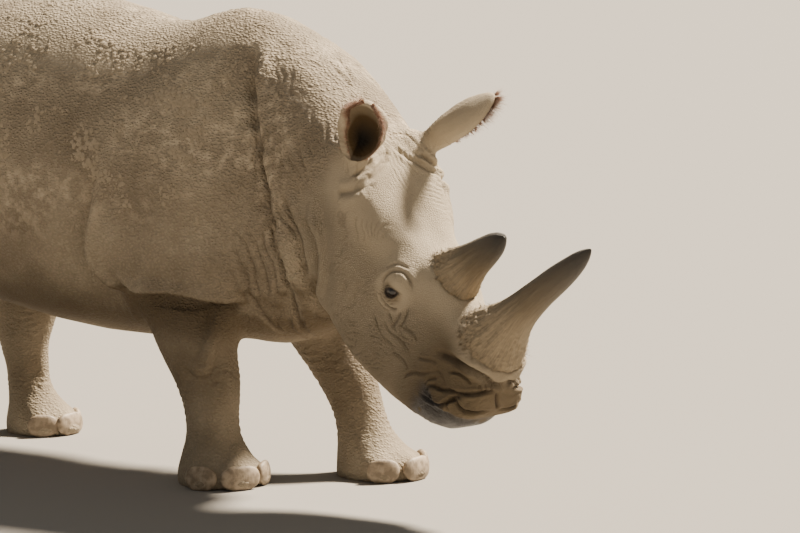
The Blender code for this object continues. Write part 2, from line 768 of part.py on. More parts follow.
def cuts():
    """All the thin cuts that part the body."""
    head = head_matrix()
    plates = [
        plate(((0.10, 1.80), (0.46, 0.45)), 0.60, Matrix()),
        plate(((-0.12, 0.14), (0.00, -0.30), (0.26, -0.62), (0.30, -0.80)), 0.45, head),
        plate(((1.10, -0.225), (0.84, -0.310), (0.50, -0.37), (0.42, -0.44), (0.34, -0.80)), 0.35, head),
    ]
    for leg in LEGS:
        plates += leg_plates(leg)
    return plates


def seeds():
    """A point in the middle of each node of flesh."""
    head = head_matrix()
    out = {
        "trunk": Vector((-0.90, 0, 1.05)),
        "neck": Vector((0.50, -0.10, 1.05)),
        "head": head @ Vector((0.45, 0, -0.20)),
        "lower_jaw": head @ Vector((0.60, 0, -0.47)),
    }
    for leg in LEGS:
        out[f"{leg.name}_upper"] = leg.middle(0.50)
        out[f"{leg.name}_lower"] = leg.middle(0.24)
        out[f"{leg.name}_foot"] = leg.middle(0.07)
    return out


def part_body(body):
    """Splits the cut body into its nodes, and names each by the seed it is nearest to."""
    bm = bmesh.new()
    bm.from_mesh(body.data)
    bpy.data.objects.remove(body)
    left = set(bm.verts)
    groups = []
    while left:
        group, front = set(), [next(iter(left))]
        while front:
            vertex = front.pop()
            if vertex in group:
                continue
            group.add(vertex)
            front += [e.other_vert(vertex) for e in vertex.link_edges]
        left -= group
        groups.append(group)
    places = seeds()
    pieces = {}
    for group in sorted(groups, key=lambda g: (-len(g), min(v.index for v in g))):
        low = Vector([min(v.co[i] for v in group) for i in range(3)])
        high = Vector([max(v.co[i] for v in group) for i in range(3)])
        name = min(places, key=lambda n: (places[n] - (low + high) / 2).length)
        if name in pieces:
            raise RuntimeError(f"the cuts left two pieces near {name}, one from {low} to {high}")
        faces = {f for v in group for f in v.link_faces}
        part = bmesh.new()
        copies = {v: part.verts.new(v.co) for v in sorted(group, key=lambda v: v.index)}
        for face in sorted(faces, key=lambda f: f.index):
            part.faces.new([copies[v] for v in face.verts])
        pieces[name] = finish(name, part)
    bm.free()
    missing = sorted(set(places) - set(pieces))
    if missing:
        raise RuntimeError(f"the cuts left no piece for {missing}")
    return list(pieces.values())


# ---------------------------------------------------------------- materials
@dataclass(frozen=True)
class Finish:
    """A plain surface: its colour and how rough it is."""

    name: str
    colour: tuple
    roughness: float


HIDE = Finish("hide", (0.36, 0.32, 0.26), 0.85)
HORN = Finish("horn", (0.25, 0.20, 0.15), 0.60)
NAIL = Finish("nail", (0.22, 0.18, 0.14), 0.60)
EYE = Finish("eye", (0.03, 0.02, 0.015), 0.10)
TAIL_HAIR = Finish("tail_hair", (0.06, 0.05, 0.04), 0.70)


def finish_of(name):
    """The finish of a node."""
    for start, kind in (("horn", HORN), ("nail", NAIL), ("eye", EYE), ("tail_tuft", TAIL_HAIR)):
        if name.startswith(start):
            return kind
    return HIDE


def paint(piece):
    """Gives a piece its own material."""
    kind = finish_of(piece.name)
    material = bpy.data.materials.new(f"{kind.name}_{piece.name}")
    material.use_nodes = True
    shader = material.node_tree.nodes["Principled BSDF"]
    shader.inputs["Base Color"].default_value = (*kind.colour, 1.0)
    shader.inputs["Roughness"].default_value = kind.roughness
    shader.inputs["Metallic"].default_value = 0.0
    piece.data.materials.clear()
    piece.data.materials.append(material)


def clear():
    """Starts from an empty scene."""
    for piece in list(bpy.data.objects):
        bpy.data.objects.remove(piece)


def centre(pieces):
    """Moves everything so that the box's middle is over the origin and the soles are at z = 0."""
    corners = np.array([v.co for piece in pieces for v in piece.data.vertices])
    low, high = corners.min(0), corners.max(0)
    shift = Matrix.Translation((-(low[0] + high[0]) / 2, -(low[1] + high[1]) / 2, -low[2]))
    for piece in pieces:
        piece.data.transform(shift)


def main():
    """Builds the whole animal."""
    clear()
    body = stand(thin(crease(body_form())))
    tree = surface_tree(body)
    ears = [
        ear("ear_right", (0.040, -0.160, 0.020), (-0.17, -0.16, 0.97), (0.55, -0.75, 0.20)),
        ear("ear_left", (0.018, 0.172, 0.038), (0.06, 0.48, 0.82), (0.45, 0.85, -0.20)),
    ]
    fitted = [
        *(whole for whole, _ in ears),
        horn("horn_front", (0.835, -0.035), 10.0, FRONT_HORN_LENGTH, FRONT_HORN),
        horn("horn_rear", (0.555, -0.035), 13.0, REAR_HORN_LENGTH, REAR_HORN),
        eye(-1, tree),
        eye(1, tree),
        hanging("tail", TAIL),
    ]
    fitted += [nail(leg, toe, tree) for leg in LEGS for toe in TOES]
    cut_from(body, [socket(piece) for piece in fitted])
    for whole, hollow in ears:
        cut_from(whole, [hollow])
    for thin_cut in cuts():
        cut_from(body, [thin_cut])
    pieces = part_body(body) + fitted + [hanging("tail_tuft", TUFT)]
    centre(pieces)
    for piece in pieces:
        paint(piece)
        piece.data.shade_smooth()


main()
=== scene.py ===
"""Looks of a life-size white rhinoceros model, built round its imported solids.

One skin is fused over the solids of flesh, smoothed, and shaped with folds, lids, lips and
wrinkles. Horns, eyes and toenails are finer copies of their solids, and hair is solid locks.
Sizes are metres unless a name says mm. The head has axes of its own: u runs forward from the
poll to the upper lip, w to the animal's left and v up from its top line.
"""

import sys

import logging
import math
from collections.abc import Callable
from dataclasses import dataclass
from enum import Enum
from functools import partial

import bmesh
import bpy
import numpy as np
from mathutils import Matrix, Vector
from mathutils.bvhtree import BVHTree


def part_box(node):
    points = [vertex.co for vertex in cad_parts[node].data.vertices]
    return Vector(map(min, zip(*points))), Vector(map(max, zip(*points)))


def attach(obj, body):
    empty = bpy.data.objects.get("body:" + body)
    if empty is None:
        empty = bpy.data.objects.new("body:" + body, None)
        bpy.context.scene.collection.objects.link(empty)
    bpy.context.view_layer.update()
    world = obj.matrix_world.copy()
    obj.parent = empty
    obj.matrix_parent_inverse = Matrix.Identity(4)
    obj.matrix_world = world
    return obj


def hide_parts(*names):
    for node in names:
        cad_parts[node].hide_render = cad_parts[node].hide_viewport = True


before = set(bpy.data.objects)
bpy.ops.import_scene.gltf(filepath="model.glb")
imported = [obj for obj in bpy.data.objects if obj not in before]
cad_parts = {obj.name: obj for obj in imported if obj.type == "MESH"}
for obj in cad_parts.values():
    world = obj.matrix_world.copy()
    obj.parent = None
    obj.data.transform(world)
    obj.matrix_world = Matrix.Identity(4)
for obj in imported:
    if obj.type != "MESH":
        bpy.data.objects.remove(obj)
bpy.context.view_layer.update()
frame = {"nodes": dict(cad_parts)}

log = logging.getLogger("rhinoceros")

MM = 0.001
BODY_ORIGIN = Vector((0.2619, 0.0004, 0.0))  # where the body's own x = y = 0 stands in the frame
HEAD_PLACE = (
    Matrix.Translation((0.9949, -0.2066, 1.242))
    @ Matrix.Rotation(math.radians(-12.0), 4, "Z")
    @ Matrix.Rotation(math.radians(44.4), 4, "Y")
    @ Matrix.Rotation(math.radians(2.8), 4, "X")
)
MARKS = ("furrow", "face", "wet", "mud", "ear_inside", "low", "calm", "net")  # read by the hide's material
HORN_SEATS = (  # node, where the horn stands on the head, and its lean forward in degrees
    ("horn_front", (0.835, 0, -0.035), 10), ("horn_rear", (0.555, 0, -0.035), 13),
)
LASH_CURVE = 1.35  # how round the opening of the eye is: 1 is a lozenge, 2 an ellipse


class Space(Enum):
    """Whose axes a set of given points is in."""

    HEAD = "head"
    BODY = "body"


class Side(Enum):
    """A side of the animal; the value is the sign of its own left-hand axis."""

    RIGHT = -1
    LEFT = 1


# ---------------- numbers on arrays of points
def ramp(value: np.ndarray, start: float, end: float) -> np.ndarray:
    """Runs smoothly from 0 at start to 1 at end; end may be the lower of the two.

    Args:
        value: Any numbers.
        start: Where the ramp leaves 0.
        end: Where it reaches 1.

    Returns:
        Numbers from 0 to 1, in the shape of value.
    """
    t = np.clip((value - start) / (end - start), 0.0, 1.0)
    return t * t * (3.0 - 2.0 * t)


def hashed(cells: np.ndarray, seed: int) -> np.ndarray:
    """Gives each whole-number cell a fixed value from 0 to 1.

    Args:
        cells: Whole numbers, one row of three for each cell.
        seed: Picks the set of values.

    Returns:
        One value for each row.
    """
    x, y, z = (cells[..., k].astype(np.uint64) for k in range(3))
    mixed = x * np.uint64(73856093) ^ y * np.uint64(19349663) ^ z * np.uint64(83492791)
    mixed ^= np.uint64(seed * 2654435761 % 2**32)
    mixed = (mixed ^ (mixed >> np.uint64(13))) * np.uint64(1274126177)
    mixed = (mixed ^ (mixed >> np.uint64(16))) * np.uint64(2246822519)
    return ((mixed >> np.uint64(11)) & np.uint64(0xFFFFFF)).astype(float) / 0xFFFFFF


def noise(points: np.ndarray, size: float, seed: int = 0, octaves: int = 1) -> np.ndarray:
    """Smooth noise between -1 and 1, with lumps about one size across.

    Args:
        points: Rows of three coordinates.
        size: The width of the largest lumps.
        seed: Picks the pattern.
        octaves: How many times it is added again, half as wide and half as strong.

    Returns:
        One number for each point.
    """
    total = np.zeros(len(points))
    weight, reach = 1.0, 0.0
    for octave in range(octaves):
        scaled = points / (size / 2**octave) + 7.31 * (octave + 1) + 4096.0
        cell = np.floor(scaled).astype(np.int64)
        part = scaled - cell
        ease = part * part * part * (part * (part * 6.0 - 15.0) + 10.0)
        value = np.zeros(len(points))
        for corner in np.ndindex(2, 2, 2):
            share = np.prod(np.where(corner, ease, 1.0 - ease), axis=1)
            value += share * hashed(cell + corner, seed + octave)
        total += weight * (value * 2.0 - 1.0)
        reach += weight
        weight *= 0.5
    return total / reach


def smooth_line(points: np.ndarray, spacing: float) -> np.ndarray:
    """Runs a rounded line through points and spaces it evenly.

    Args:
        points: The points that the line runs through.
        spacing: The distance between its samples.

    Returns:
        Rows of three coordinates.
    """
    knots = np.vstack([2 * points[0] - points[1], points, 2 * points[-1] - points[-2]])
    dense = []
    for a, b, c, d in zip(knots, knots[1:], knots[2:], knots[3:]):
        for t in np.linspace(0.0, 1.0, 12, endpoint=False):
            curve = 2 * b + (c - a) * t + (2 * a - 5 * b + 4 * c - d) * t**2
            dense.append(0.5 * (curve + (3 * b - a - 3 * c + d) * t**3))
    dense = np.array([*dense, points[-1]])
    run = np.concatenate([[0.0], np.cumsum(np.linalg.norm(np.diff(dense, axis=0), axis=1))])
    stops = np.linspace(0.0, run[-1], max(3, int(run[-1] / spacing) + 1))
    return np.stack([np.interp(stops, run, dense[:, k]) for k in range(3)], axis=1)


def moved(points: np.ndarray, place: Matrix) -> np.ndarray:
    """The points after a place's turn and shift."""
    turn = np.array(place)
    return points @ turn[:3, :3].T + turn[:3, 3]


def neck_bend(x: np.ndarray) -> np.ndarray:
    """How far the body's middle plane has swung to the left at x, along the neck."""
    return np.interp(x, (0.0, 0.12, 0.34, 0.52, 0.66), (0.0, -0.01, -0.05, -0.11, -0.16))


def to_frame(points: np.ndarray, space: Space, side: Side) -> np.ndarray:
    """Brings points given for the animal's right side into the frame, on either side.

    Args:
        points: Rows of three coordinates, in the space's axes, on the right side.
        space: The axes that they are in.
        side: The side to bring them to.

    Returns:
        Rows of three coordinates in the frame.
    """
    out = np.array(points, dtype=float)
    if space is Space.HEAD:
        if side is Side.LEFT:
            out[:, 1] *= -1
        return moved(out, HEAD_PLACE)
    if side is Side.LEFT:
        out[:, 1] = 2 * neck_bend(out[:, 0]) - out[:, 1]
    return out + np.array(BODY_ORIGIN)


# ---------------- small mesh helpers
def solid_of(name: str) -> bmesh.types.BMesh:
    """A merged copy of a solid of the frame.

    Args:
        name: The node's name.

    Returns:
        A new bmesh with its loose triangles joined.
    """
    bm = bmesh.new()
    bm.from_mesh(frame["nodes"][name].data)
    bmesh.ops.remove_doubles(bm, verts=bm.verts, dist=0.01 * MM)
    bm.normal_update()
    return bm


def foot_middle(nail: str) -> Vector:
    """The middle of the foot that a nail stands on, by the nail's node."""
    low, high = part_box(nail.replace("nail_", "").rsplit("_", 1)[0] + "_foot")
    return (low + high) / 2


def grow(bm: bmesh.types.BMesh, amount: float) -> None:
    """Moves every vertex of a mesh out along its normal, or in if the amount is negative.

    Args:
        bm: The mesh.
        amount: How far.
    """
    bm.normal_update()
    for vertex, normal in [(v, v.normal.copy()) for v in bm.verts]:
        vertex.co += normal * amount


def linked(name: str, data: bpy.types.ID) -> bpy.types.Object:
    """Makes an object of a mesh, a lamp or a camera, and puts it in the scene.

    Args:
        name: The new object's name.
        data: What it is made of.

    Returns:
        The object, with its origin at the frame's.
    """
    made = bpy.data.objects.new(name, data)
    bpy.context.scene.collection.objects.link(made)
    return made


def piece_from(bm: bmesh.types.BMesh, name: str) -> bpy.types.Object:
    """Makes a linked object of a bmesh, and frees the bmesh.

    Args:
        bm: The shape, in the frame's place.
        name: The new object's name.

    Returns:
        The object, with its origin at the frame's.
    """
    mesh = bpy.data.meshes.new(name)
    bm.to_mesh(mesh)
    bm.free()
    return linked(name, mesh)


def apply_modifier(piece: bpy.types.Object, kind: str, **settings: object) -> None:
    """Adds one modifier to a piece and applies it.

    Args:
        piece: The object.
        kind: The modifier's type.
        **settings: Its settings.
    """
    modifier = piece.modifiers.new(kind.title(), kind)
    for key, value in settings.items():
        setattr(modifier, key, value)
    evaluated = piece.evaluated_get(bpy.context.evaluated_depsgraph_get())
    mesh = bpy.data.meshes.new_from_object(evaluated)
    piece.modifiers.clear()
    old, piece.data = piece.data, mesh
    name = old.name
    bpy.data.meshes.remove(old)
    mesh.name = name


def finished(
    piece: bpy.types.Object, material: bpy.types.Material, nodes: tuple[str, ...] = ()
) -> bpy.types.Object:
    """Gives a piece its material, its body and the nodes that it stands for.

    Args:
        piece: The piece.
        material: Its one material.
        nodes: The nodes that it replaces.

    Returns:
        The same piece.
    """
    piece.data.materials.clear()
    piece.data.materials.append(material)
    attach(piece, "root")
    if nodes:
        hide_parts(*nodes)
    return piece


def set_attribute(mesh: bpy.types.Mesh, name: str, values: np.ndarray) -> None:
    """Stores one number or one vector for each vertex of a mesh.

    Args:
        mesh: The mesh.
        name: The attribute's name, which materials read.
        values: One row for each vertex, of one or three numbers.
    """
    vector = values.ndim == 2
    attribute = mesh.attributes.new(name, "FLOAT_VECTOR" if vector else "FLOAT", "POINT")
    attribute.data.foreach_set("vector" if vector else "value", values.astype(np.float32).ravel())


def rows_of(
    items: bpy.types.bpy_prop_collection, name: str, width: int, kind: type = np.float32
) -> np.ndarray:
    """Reads a property of every vertex, edge, corner or face of a mesh.

    Args:
        items: The mesh's vertices, edges, corners or faces.
        name: The property.
        width: How many numbers each item has.
        kind: The kind of number.

    Returns:
        One row for each item.
    """
    flat = np.empty(len(items) * width, kind)
    items.foreach_get(name, flat)
    rows = flat.reshape(-1, width)
    return rows.astype(float) if kind is np.float32 else rows


class Surface:
    """The vertices of a mesh as arrays, while the mesh is being shaped."""

    def __init__(self, mesh: bpy.types.Mesh) -> None:
        """Reads a mesh.

        Args:
            mesh: The mesh.
        """
        self.mesh = mesh
        self.points = rows_of(mesh.vertices, "co", 3)
        self.edges = rows_of(mesh.edges, "vertices", 2, np.int32)

    def write(self) -> None:
        """Puts the points back into the mesh."""
        self.mesh.vertices.foreach_set("co", self.points.astype(np.float32).ravel())
        self.mesh.update()

    def normals(self) -> np.ndarray:
        """The direction out of the surface at each vertex, after writing the points."""
        self.write()
        return rows_of(self.mesh.vertex_normals, "vector", 3)

    def relax(self, weight: np.ndarray, times: int) -> None:
        """Evens out the surface by moving vertices towards their neighbours' middle.

        Args:
            weight: How much each vertex takes part, from 0 to 1.
            times: How often it is done.
        """
        touched = weight > 0.001
        near = self.edges[touched[self.edges[:, 0]] | touched[self.edges[:, 1]]]
        used, local = np.unique(near, return_inverse=True)
        local = local.reshape(-1, 2)
        first, second = local[:, 0], local[:, 1]
        points = self.points[used]
        count = len(used)
        degree = np.bincount(local.ravel(), minlength=count)
        share = (weight[used] * 0.5 / degree)[:, None]
        for _ in range(times):
            total = np.empty_like(points)
            for k in range(3):
                axis = points[:, k]
                total[:, k] = np.bincount(first, axis[second], count)
                total[:, k] += np.bincount(second, axis[first], count)
            points += (total - points * degree[:, None]) * share
        self.points[used] = points


def tree_of(mesh: bpy.types.Mesh) -> BVHTree:
    """A search tree of a mesh's surface.

    Args:
        mesh: The mesh.

    Returns:
        The tree.
    """
    bm = bmesh.new()
    bm.from_mesh(mesh)
    tree = BVHTree.FromBMesh(bm)
    bm.free()
    return tree


def snapped(points: np.ndarray, tree: BVHTree) -> tuple[np.ndarray, np.ndarray]:
    """The nearest points of a surface, and its directions there.

    Args:
        points: Rows of three coordinates.
        tree: The surface.

    Returns:
        Rows of coordinates, and rows of unit normals.
    """
    found = [tree.find_nearest(Vector(p))[:2] for p in points]
    return np.array([f[0] for f in found]), np.array([f[1] for f in found])


# ---------------- material helpers
def linear(hex_colour: str) -> tuple[float, float, float, float]:
    """Turns an sRGB hex colour into linear red, green, blue and full alpha."""
    shares = [int(hex_colour[k : k + 2], 16) / 255 for k in (1, 3, 5)]
    return (*(s / 12.92 if s <= 0.04045 else ((s + 0.055) / 1.055) ** 2.4 for s in shares), 1.0)


def fill(node: bpy.types.Node, inputs: dict) -> None:
    """Links or sets a node's inputs.

    Args:
        node: The node.
        inputs: For each input's name or number, a value, or the output socket that feeds it.
    """
    for key, value in inputs.items():
        if isinstance(value, bpy.types.NodeSocket):
            node.id_data.links.new(value, node.inputs[key])
        else:
            node.inputs[key].default_value = value


def add_node(
    tree: bpy.types.NodeTree, kind: str, inputs: dict | None = None, **settings: object
) -> bpy.types.Node:
    """Adds a node, sets it, and links or fills its inputs.

    Args:
        tree: The node tree.
        kind: The node's type.
        inputs: Its inputs, as fill takes them.
        **settings: The node's own settings.

    Returns:
        The new node.
    """
    node = tree.nodes.new(kind)
    for key, value in settings.items():
        setattr(node, key, value)
    fill(node, inputs or {})
    return node


def set_ramp(node: bpy.types.Node, stops: tuple[tuple[float, str], ...]) -> None:
    """Gives a colour ramp node its stops.

    Args:
        node: The ColorRamp node.
        stops: Positions from 0 to 1, each with an sRGB hex colour.
    """
    elements = node.color_ramp.elements
    while len(elements) < len(stops):
        elements.new(0.5)
    for element, (position, colour) in zip(elements, stops):
        element.position = position
        element.color = linear(colour)


def new_material(name: str) -> tuple[bpy.types.Material, Callable[..., bpy.types.Node], bpy.types.Node]:
    """Starts a material with one Principled shader.

    Args:
        name: The material's name.

    Returns:
        The material, the function that adds a node to it, and the shader node.
    """
    material = bpy.data.materials.new(name)
    material.use_nodes = True
    tree = material.node_tree
    return material, partial(add_node, tree), tree.nodes["Principled BSDF"]


# ---------------- finishes
@dataclass(frozen=True)
class DustyHide:
    """Rhinoceros hide: thick bare skin, cracked into small plates and powdered with dry earth.

    The cracks between the plates and the furrows are painted darker, as painted shade, so the cracks read as
    a net of lines.
    """

    name: str = "rhinoceros hide, dusty"
    dust: str = "#ab9e88"
    bare: str = "#867966"
    warm: str = "#ada08a"
    # painted shade on the belly, under the elbow roll, on the muzzle and round the eyes; also darkens the
    # legs
    shade_and_stain: str = "#584a35"
    # painted shade for the cracks, folds, wrinkles and lid rims
    furrow: str = "#3f352b"
    wet: str = "#2a2727"
    crust: str = "#b3a48d"
    # the ear's hollow: the lining's own dark brown, darkened as painted shade towards the near-black bottom
    ear_lining: str = "#43331c"
    ear_hollow_shade: str = "#0b0908"
    fine_mm: float = 8.0
    plate_mm: float = 12.0  # real plates are 3 to 10 mm; drawn this coarse so that they show
    wrinkle_mm: float = 26.0
    patch_mm: float = 420.0

    def material(self) -> bpy.types.Material:
        """Builds the hide's material.

        Returns:
            The material.
        """
        material, add, shader = new_material(self.name)
        place = add("ShaderNodeTexCoord").outputs["Object"]
        marks = {name: add("ShaderNodeAttribute", attribute_name=name).outputs["Fac"] for name in MARKS}
        patches = add(
            "ShaderNodeTexNoise",
            {"Vector": place, "Scale": 1000 / self.patch_mm, "Detail": 5.0, "Roughness": 0.6},
        ).outputs["Fac"]
        patches = add(
            "ShaderNodeMapRange", {"Value": patches, "From Min": 0.36, "From Max": 0.64}
        ).outputs["Result"]
        mottle = add(
            "ShaderNodeTexNoise", {"Vector": place, "Scale": 1000 / 45.0, "Detail": 6.0, "Roughness": 0.65}
        ).outputs["Fac"]
        mottled = add(
            "ShaderNodeMapRange", {"Value": mottle, "From Min": 0.35, "From Max": 0.75, "To Max": 0.35}
        ).outputs["Result"]
        # painted shade on the belly, under the elbow roll, on the muzzle and round the eyes, and darker legs
        cleaner, shade_and_stain_share = (
            add("ShaderNodeMath", {0: marks[name], 1: most}, operation="MULTIPLY").outputs[0]
            for name, most in (("face", 0.65), ("low", 0.85))
        )
        colour = linear(self.bare)
        for share, tone in (
            (patches, self.dust), (mottled, self.bare), (cleaner, self.warm), (shade_and_stain_share, self.shade_and_stain),
        ):
            colour = add(
                "ShaderNodeMix", {0: share, 6: colour, 7: linear(tone)}, data_type="RGBA"
            ).outputs[2]
        shaken = add(
            "ShaderNodeTexNoise", {"Vector": place, "Scale": 1000 / 30.0, "Detail": 3.0}
        ).outputs["Color"]
        bent = add(
            "ShaderNodeVectorMath", {0: shaken, 1: (0.007, 0.007, 0.007)}, operation="MULTIPLY"
        ).outputs[0]
        bent = add("ShaderNodeVectorMath", {0: place, 1: bent}, operation="ADD").outputs[0]
        flat = add("ShaderNodeMapping", {"Vector": bent, "Scale": (1.0, 1.0, 1.35)}).outputs["Vector"]
        creases = add(
            "ShaderNodeTexVoronoi", {"Vector": flat, "Scale": 1000 / self.wrinkle_mm},
            feature="DISTANCE_TO_EDGE",
        ).outputs["Distance"]
        crease_rise = add(
            "ShaderNodeMapRange", {"Value": creases, "From Max": 0.1}, interpolation_type="SMOOTHSTEP"
        ).outputs["Result"]
        domes = add(
            "ShaderNodeTexVoronoi",
            {"Vector": flat, "Scale": 1000 / self.plate_mm, "Smoothness": 0.3}, feature="SMOOTH_F1",
        ).outputs["Distance"]
        height = add(
            "ShaderNodeMapRange",
            {"Value": domes, "From Min": 0.05, "From Max": 0.62, "To Min": 1.0, "To Max": 0.0},
        ).outputs["Result"]
        small = add(
            "ShaderNodeTexVoronoi", {"Vector": flat, "Scale": 1000 / self.fine_mm},
            feature="DISTANCE_TO_EDGE",
        ).outputs["Distance"]
        small_rise = add(
            "ShaderNodeMapRange", {"Value": small, "From Max": 0.25}, interpolation_type="SMOOTHSTEP"
        ).outputs["Result"]
        height = add(
            "ShaderNodeMix", {0: marks["face"], 2: height, 3: small_rise}, data_type="FLOAT"
        ).outputs[0]
        netted = add(
            "ShaderNodeMapRange", {"Value": marks["net"], "To Min": 0.12, "To Max": 0.55}
        ).outputs["Result"]
        tall = add(
            "ShaderNodeMath", {0: crease_rise, 1: netted, 2: height}, operation="MULTIPLY_ADD"
        ).outputs[0]
        grit = add(
            "ShaderNodeTexNoise", {"Vector": place, "Scale": 1000 / 9.0, "Detail": 4.0, "Roughness": 0.7}
        ).outputs["Fac"]
        tall = add("ShaderNodeMath", {0: grit, 1: 0.5, 2: tall}, operation="MULTIPLY_ADD").outputs[0]
        # painted shade in the cracks: the hide is darkened where the bump's height is low
        line = add(
            "ShaderNodeMapRange",
            {"Value": tall, "From Min": 0.2, "From Max": 0.95, "To Min": 1.0, "To Max": 0.0},
        ).outputs["Result"]
        rough = add(
            "ShaderNodeMapRange", {"Value": marks["calm"], "To Min": 0.3, "To Max": 0.04}
        ).outputs["Result"]
        line = add("ShaderNodeMath", {0: line, 1: rough}, operation="MULTIPLY").outputs[0]
        crumbs = add(
            "ShaderNodeMapRange", {"Value": mottle, "From Min": 0.45, "From Max": 0.62}
        ).outputs["Result"]
        crust = add("ShaderNodeMath", {0: crumbs, 1: marks["mud"]}, operation="MULTIPLY").outputs[0]
        # painted shade: the cracks and the furrow mark take the furrow colour
        for share, tone in (
            (line, self.furrow), (crust, self.crust),
            (marks["furrow"], self.furrow), (marks["wet"], self.wet),
        ):
            colour = add(
                "ShaderNodeMix", {0: share, 6: colour, 7: linear(tone)}, data_type="RGBA"
            ).outputs[2]
        ear = add("ShaderNodeValToRGB", {"Fac": marks["ear_inside"]})
        # partly the lining's own colour, partly painted shade, near black at the hollow's bottom
        set_ramp(ear, ((0.0, self.warm), (0.35, self.ear_lining), (1.0, self.ear_hollow_shade)))
        lined = add(
            "ShaderNodeMapRange", {"Value": marks["ear_inside"], "From Max": 0.25}
        ).outputs["Result"]
        colour = add(
            "ShaderNodeMix", {0: lined, 6: colour, 7: ear.outputs["Color"]}, data_type="RGBA"
        ).outputs[2]
        fill(shader, {"Base Color": colour})
        gloss = add(
            "ShaderNodeMapRange", {"Value": marks["wet"], "To Min": 0.86, "To Max": 0.32}
        ).outputs["Result"]
        fill(shader, {"Roughness": gloss, "Specular IOR Level": 0.3})
        lift = add(
            "ShaderNodeMapRange", {"Value": marks["calm"], "To Min": 1.0, "To Max": 0.16}
        ).outputs["Result"]
        bump = add("ShaderNodeBump", {"Height": tall, "Strength": lift, "Distance": 5.0 * MM})
        fill(shader, {"Normal": bump.outputs["Normal"]})
        return material


@dataclass(frozen=True)
class HornFibre:
    """Horn keratin: packed hair-like fibres, rough and split low down and rubbed smooth above.

    The fibres run up the horn, so colour and bump are drawn out along it.
    """

    name: str = "rhinoceros horn keratin"
    low: str = "#95866e"
    middle: str = "#6d604b"
    tip: str = "#37332f"
    pale: str = "#9c8d75"
    dark: str = "#50463a"
    rubbed: str = "#55534f"
    fibre_mm: float = 5.0

    def material(self) -> bpy.types.Material:
        """Builds the horn's material.

        Returns:
            The material.
        """
        material, add, shader = new_material(self.name)
        grain = add("ShaderNodeAttribute", attribute_name="grain").outputs["Vector"]
        along = add("ShaderNodeAttribute", attribute_name="along").outputs["Fac"]
        worn = add("ShaderNodeAttribute", attribute_name="rubbed").outputs["Fac"]
        fibres = add(
            "ShaderNodeTexNoise",
            {"Vector": grain, "Scale": 1000 / self.fibre_mm, "Detail": 5.0, "Roughness": 0.7},
        ).outputs["Fac"]
        clumps = add(
            "ShaderNodeTexNoise", {"Vector": grain, "Scale": 1000 / 26.0, "Detail": 5.0, "Roughness": 0.65}
        ).outputs["Fac"]
        place = add("ShaderNodeTexCoord").outputs["Object"]
        crumbs = add(
            "ShaderNodeTexNoise", {"Vector": place, "Scale": 1000 / 14.0, "Detail": 6.0, "Roughness": 0.75}
        ).outputs["Fac"]
        ground = add("ShaderNodeValToRGB", {"Fac": along})
        set_ramp(ground, ((0.0, self.low), (0.22, self.low), (0.42, self.middle), (0.9, self.tip)))
        pale = add(
            "ShaderNodeMapRange", {"Value": clumps, "From Min": 0.45, "From Max": 0.65, "To Max": 0.5}
        ).outputs["Result"]
        fresh = add(
            "ShaderNodeMapRange",
            {"Value": along, "From Min": 0.1, "From Max": 0.7, "To Min": 1.0, "To Max": 0.05},
        ).outputs["Result"]
        pale = add("ShaderNodeMath", {0: pale, 1: fresh}, operation="MULTIPLY").outputs[0]
        streak = add(
            "ShaderNodeMapRange", {"Value": fibres, "From Min": 0.54, "From Max": 0.38, "To Max": 0.38}
        ).outputs["Result"]
        smeared = add("ShaderNodeMath", {0: worn, 1: clumps}, operation="MULTIPLY").outputs[0]
        colour = ground.outputs["Color"]
        for share, tone in ((pale, self.pale), (streak, self.dark), (smeared, self.rubbed)):
            colour = add(
                "ShaderNodeMix", {0: share, 6: colour, 7: linear(tone)}, data_type="RGBA"
            ).outputs[2]
        fill(shader, {"Base Color": colour})
        rough = add(
            "ShaderNodeMapRange", {"Value": along, "To Min": 0.88, "To Max": 0.42}
        ).outputs["Result"]
        fill(shader, {"Roughness": rough})
        gritty = add("ShaderNodeMath", {0: crumbs, 1: fresh}, operation="MULTIPLY").outputs[0]
        height = add("ShaderNodeMath", {0: fibres, 1: gritty}, operation="ADD").outputs[0]
        bump = add("ShaderNodeBump", {"Height": height, "Strength": 1.0, "Distance": 5 * MM})
        fill(shader, {"Normal": bump.outputs["Normal"]})
        return material


@dataclass(frozen=True)
class NailKeratin:
    """Toenail keratin: dense and faintly ridged from top to bottom, chipped and dusty below."""

    name: str = "toenail keratin, worn"
    clean: str = "#7f705c"
    dusty: str = "#a79680"

    def material(self) -> bpy.types.Material:
        """Builds the nail's material.

        Returns:
            The material.
        """
        material, add, shader = new_material(self.name)
        place = add("ShaderNodeTexCoord").outputs["Object"]
        ridged = add("ShaderNodeMapping", {"Vector": place, "Scale": (1.0, 1.0, 0.12)})
        ridges = add(
            "ShaderNodeTexNoise", {"Vector": ridged.outputs["Vector"], "Scale": 1000 / 6.0, "Detail": 4.0}
        ).outputs["Fac"]
        spots = add(
            "ShaderNodeTexNoise", {"Vector": place, "Scale": 1000 / 28.0, "Detail": 5.0}
        ).outputs["Fac"]
        share = add(
            "ShaderNodeMapRange", {"Value": spots, "From Min": 0.4, "From Max": 0.6}
        ).outputs["Result"]
        colour = add(
            "ShaderNodeMix", {0: share, 6: linear(self.clean), 7: linear(self.dusty)}, data_type="RGBA"
        ).outputs[2]
        fill(shader, {"Base Color": colour, "Roughness": 0.6})
        bump = add("ShaderNodeBump", {"Height": ridges, "Strength": 0.6, "Distance": 1.5 * MM})
        fill(shader, {"Normal": bump.outputs["Normal"]})
        return material


